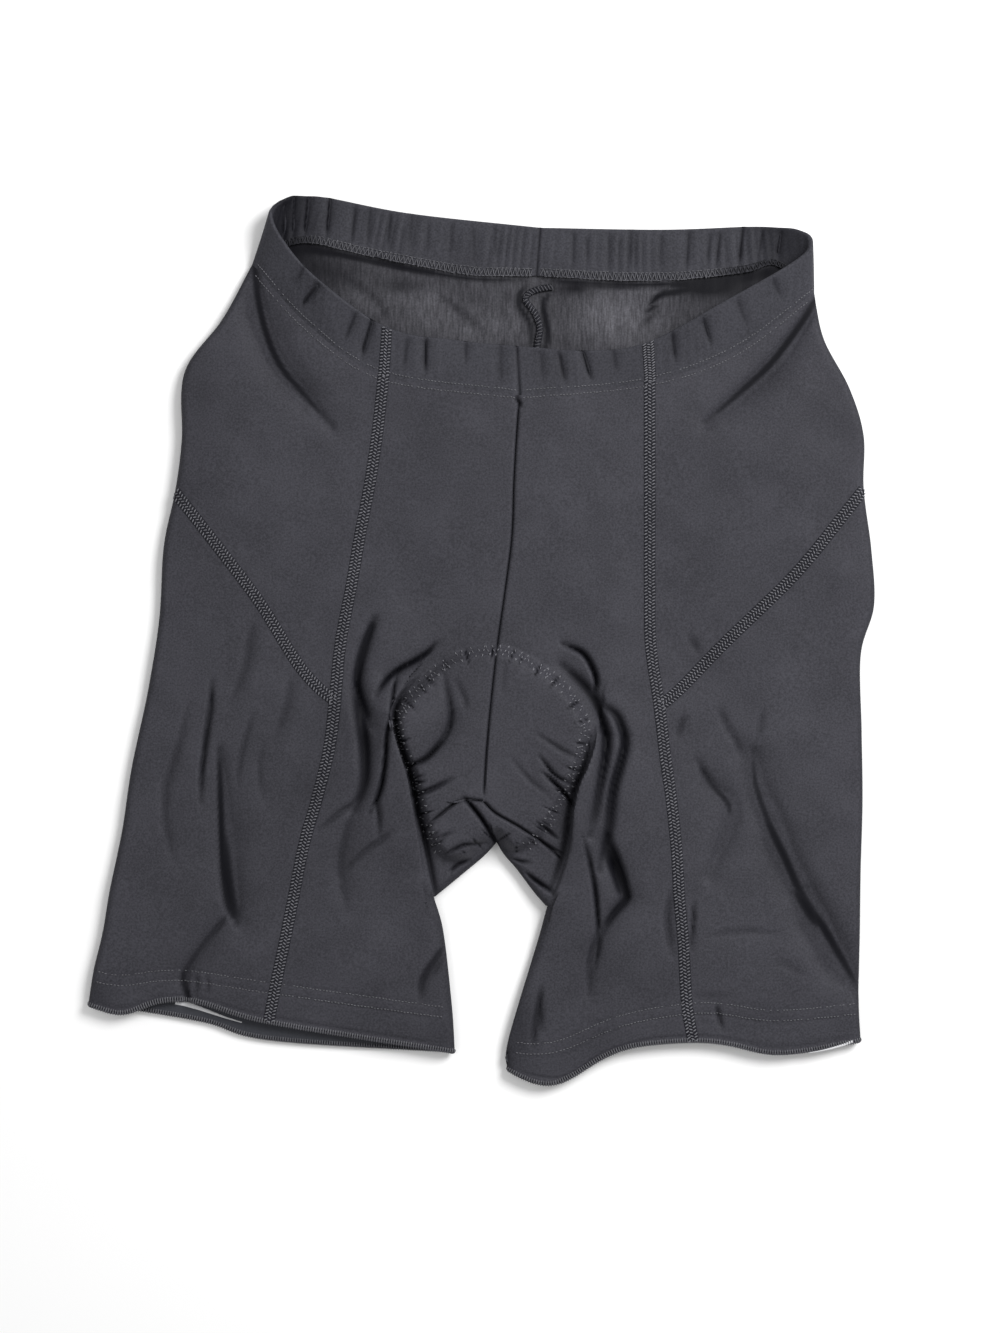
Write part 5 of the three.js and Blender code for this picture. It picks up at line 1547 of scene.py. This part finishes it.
# Seam allowance inside the centre back, overlocked and curled
path = curve([(37.6, 186), (31, 185), (25.2, 182.5), (23.9, 178.7), (27, 174.5), (29.8, 170), (31.3, 163.9),
              (30, 156), (28.5, 146), (27.5, 132)], 60)
allowance = ribbon(path, on_inside, 3.7, 1.9, sink=0.4)
thread_piece("centre_back_allowance", "back_left", [allowance], SEAM)
stitches = [rungs(path, on_inside, 3.0, 1.7, 0.24, 2.0, slant=1.2)]
stitches += [dashes(path, on_inside, offset, 1.6, 0.5, 0.26, 1.9) for offset in (-1.1, 1.1)]
thread_piece("centre_back_overlock", "back_left", stitches, FINE_THREAD)

# Floor, light and camera

FLOOR = -0.0007
pale = bpy.data.materials.new("pale_floor")
pale.use_nodes = True
feed(pale.node_tree, pale.node_tree.nodes["Principled BSDF"], {
    "Base Color": (0.95, 0.95, 0.95, 1), "Roughness": 0.9, "Specular IOR Level": 0.1})
floor_mesh = bpy.data.meshes.new("floor")
floor_mesh.from_pydata([(-4, -4, FLOOR), (4, -4, FLOOR), (4, 4, FLOOR), (-4, 4, FLOOR)], [], [(0, 1, 2, 3)])
floor_mesh.materials.append(pale)
floor = bpy.data.objects.new("floor", floor_mesh)
bpy.context.scene.collection.objects.link(floor)


def area_light(name, place, aim, size, power):
    light = bpy.data.lights.new(name, "AREA")
    light.shape = "DISK"
    light.size = size
    light.energy = power
    lamp = bpy.data.objects.new(name, light)
    lamp.location = place
    lamp.rotation_mode = "QUATERNION"
    lamp.rotation_quaternion = (Vector(aim) - Vector(place)).to_track_quat("-Z", "Y")
    bpy.context.scene.collection.objects.link(lamp)


area_light("key", (0.95, 0.7, 1.1), (0.05, 0, 0), 0.8, 27)
area_light("fill", (-1.2, 0.5, 1.6), (0, 0, 0), 1.4, 5)
world = bpy.data.worlds.new("studio")
world.use_nodes = True
feed(world.node_tree, world.node_tree.nodes["Background"], {"Color": (1, 1, 1, 1), "Strength": 0.54})
bpy.context.scene.world = world
bpy.context.scene.view_settings.view_transform = "Standard"

# The photograph, in pixels: its size, the point that is 0 in x and y here, and the scale, which holds at
# the level of the upper layer
PHOTO_WIDTH, PHOTO_HEIGHT = 1000, 1333
ZERO_X, ZERO_Y = 480.5, 639.5
PIXELS_PER_MM = 1.9
CLOTH_LEVEL = 0.006
camera_data = bpy.data.cameras.new("camera")
camera_data.lens = 70
camera_data.sensor_width = 36
camera_data.sensor_fit = "AUTO"
camera_data.clip_start = 0.05
camera_data.clip_end = 20
camera = bpy.data.objects.new("camera", camera_data)
aim_x = ((PHOTO_WIDTH / 2 - ZERO_X) / PIXELS_PER_MM - MIDDLE[0]) * 0.001
aim_y = ((ZERO_Y - PHOTO_HEIGHT / 2) / PIXELS_PER_MM - MIDDLE[1]) * 0.001
above_cloth = PHOTO_HEIGHT / PIXELS_PER_MM * 0.001 * camera_data.lens / camera_data.sensor_width
camera.location = (aim_x, aim_y, above_cloth + CLOTH_LEVEL)
camera.rotation_euler = (0, 0, 0)
bpy.context.scene.collection.objects.link(camera)
bpy.context.scene.camera = camera
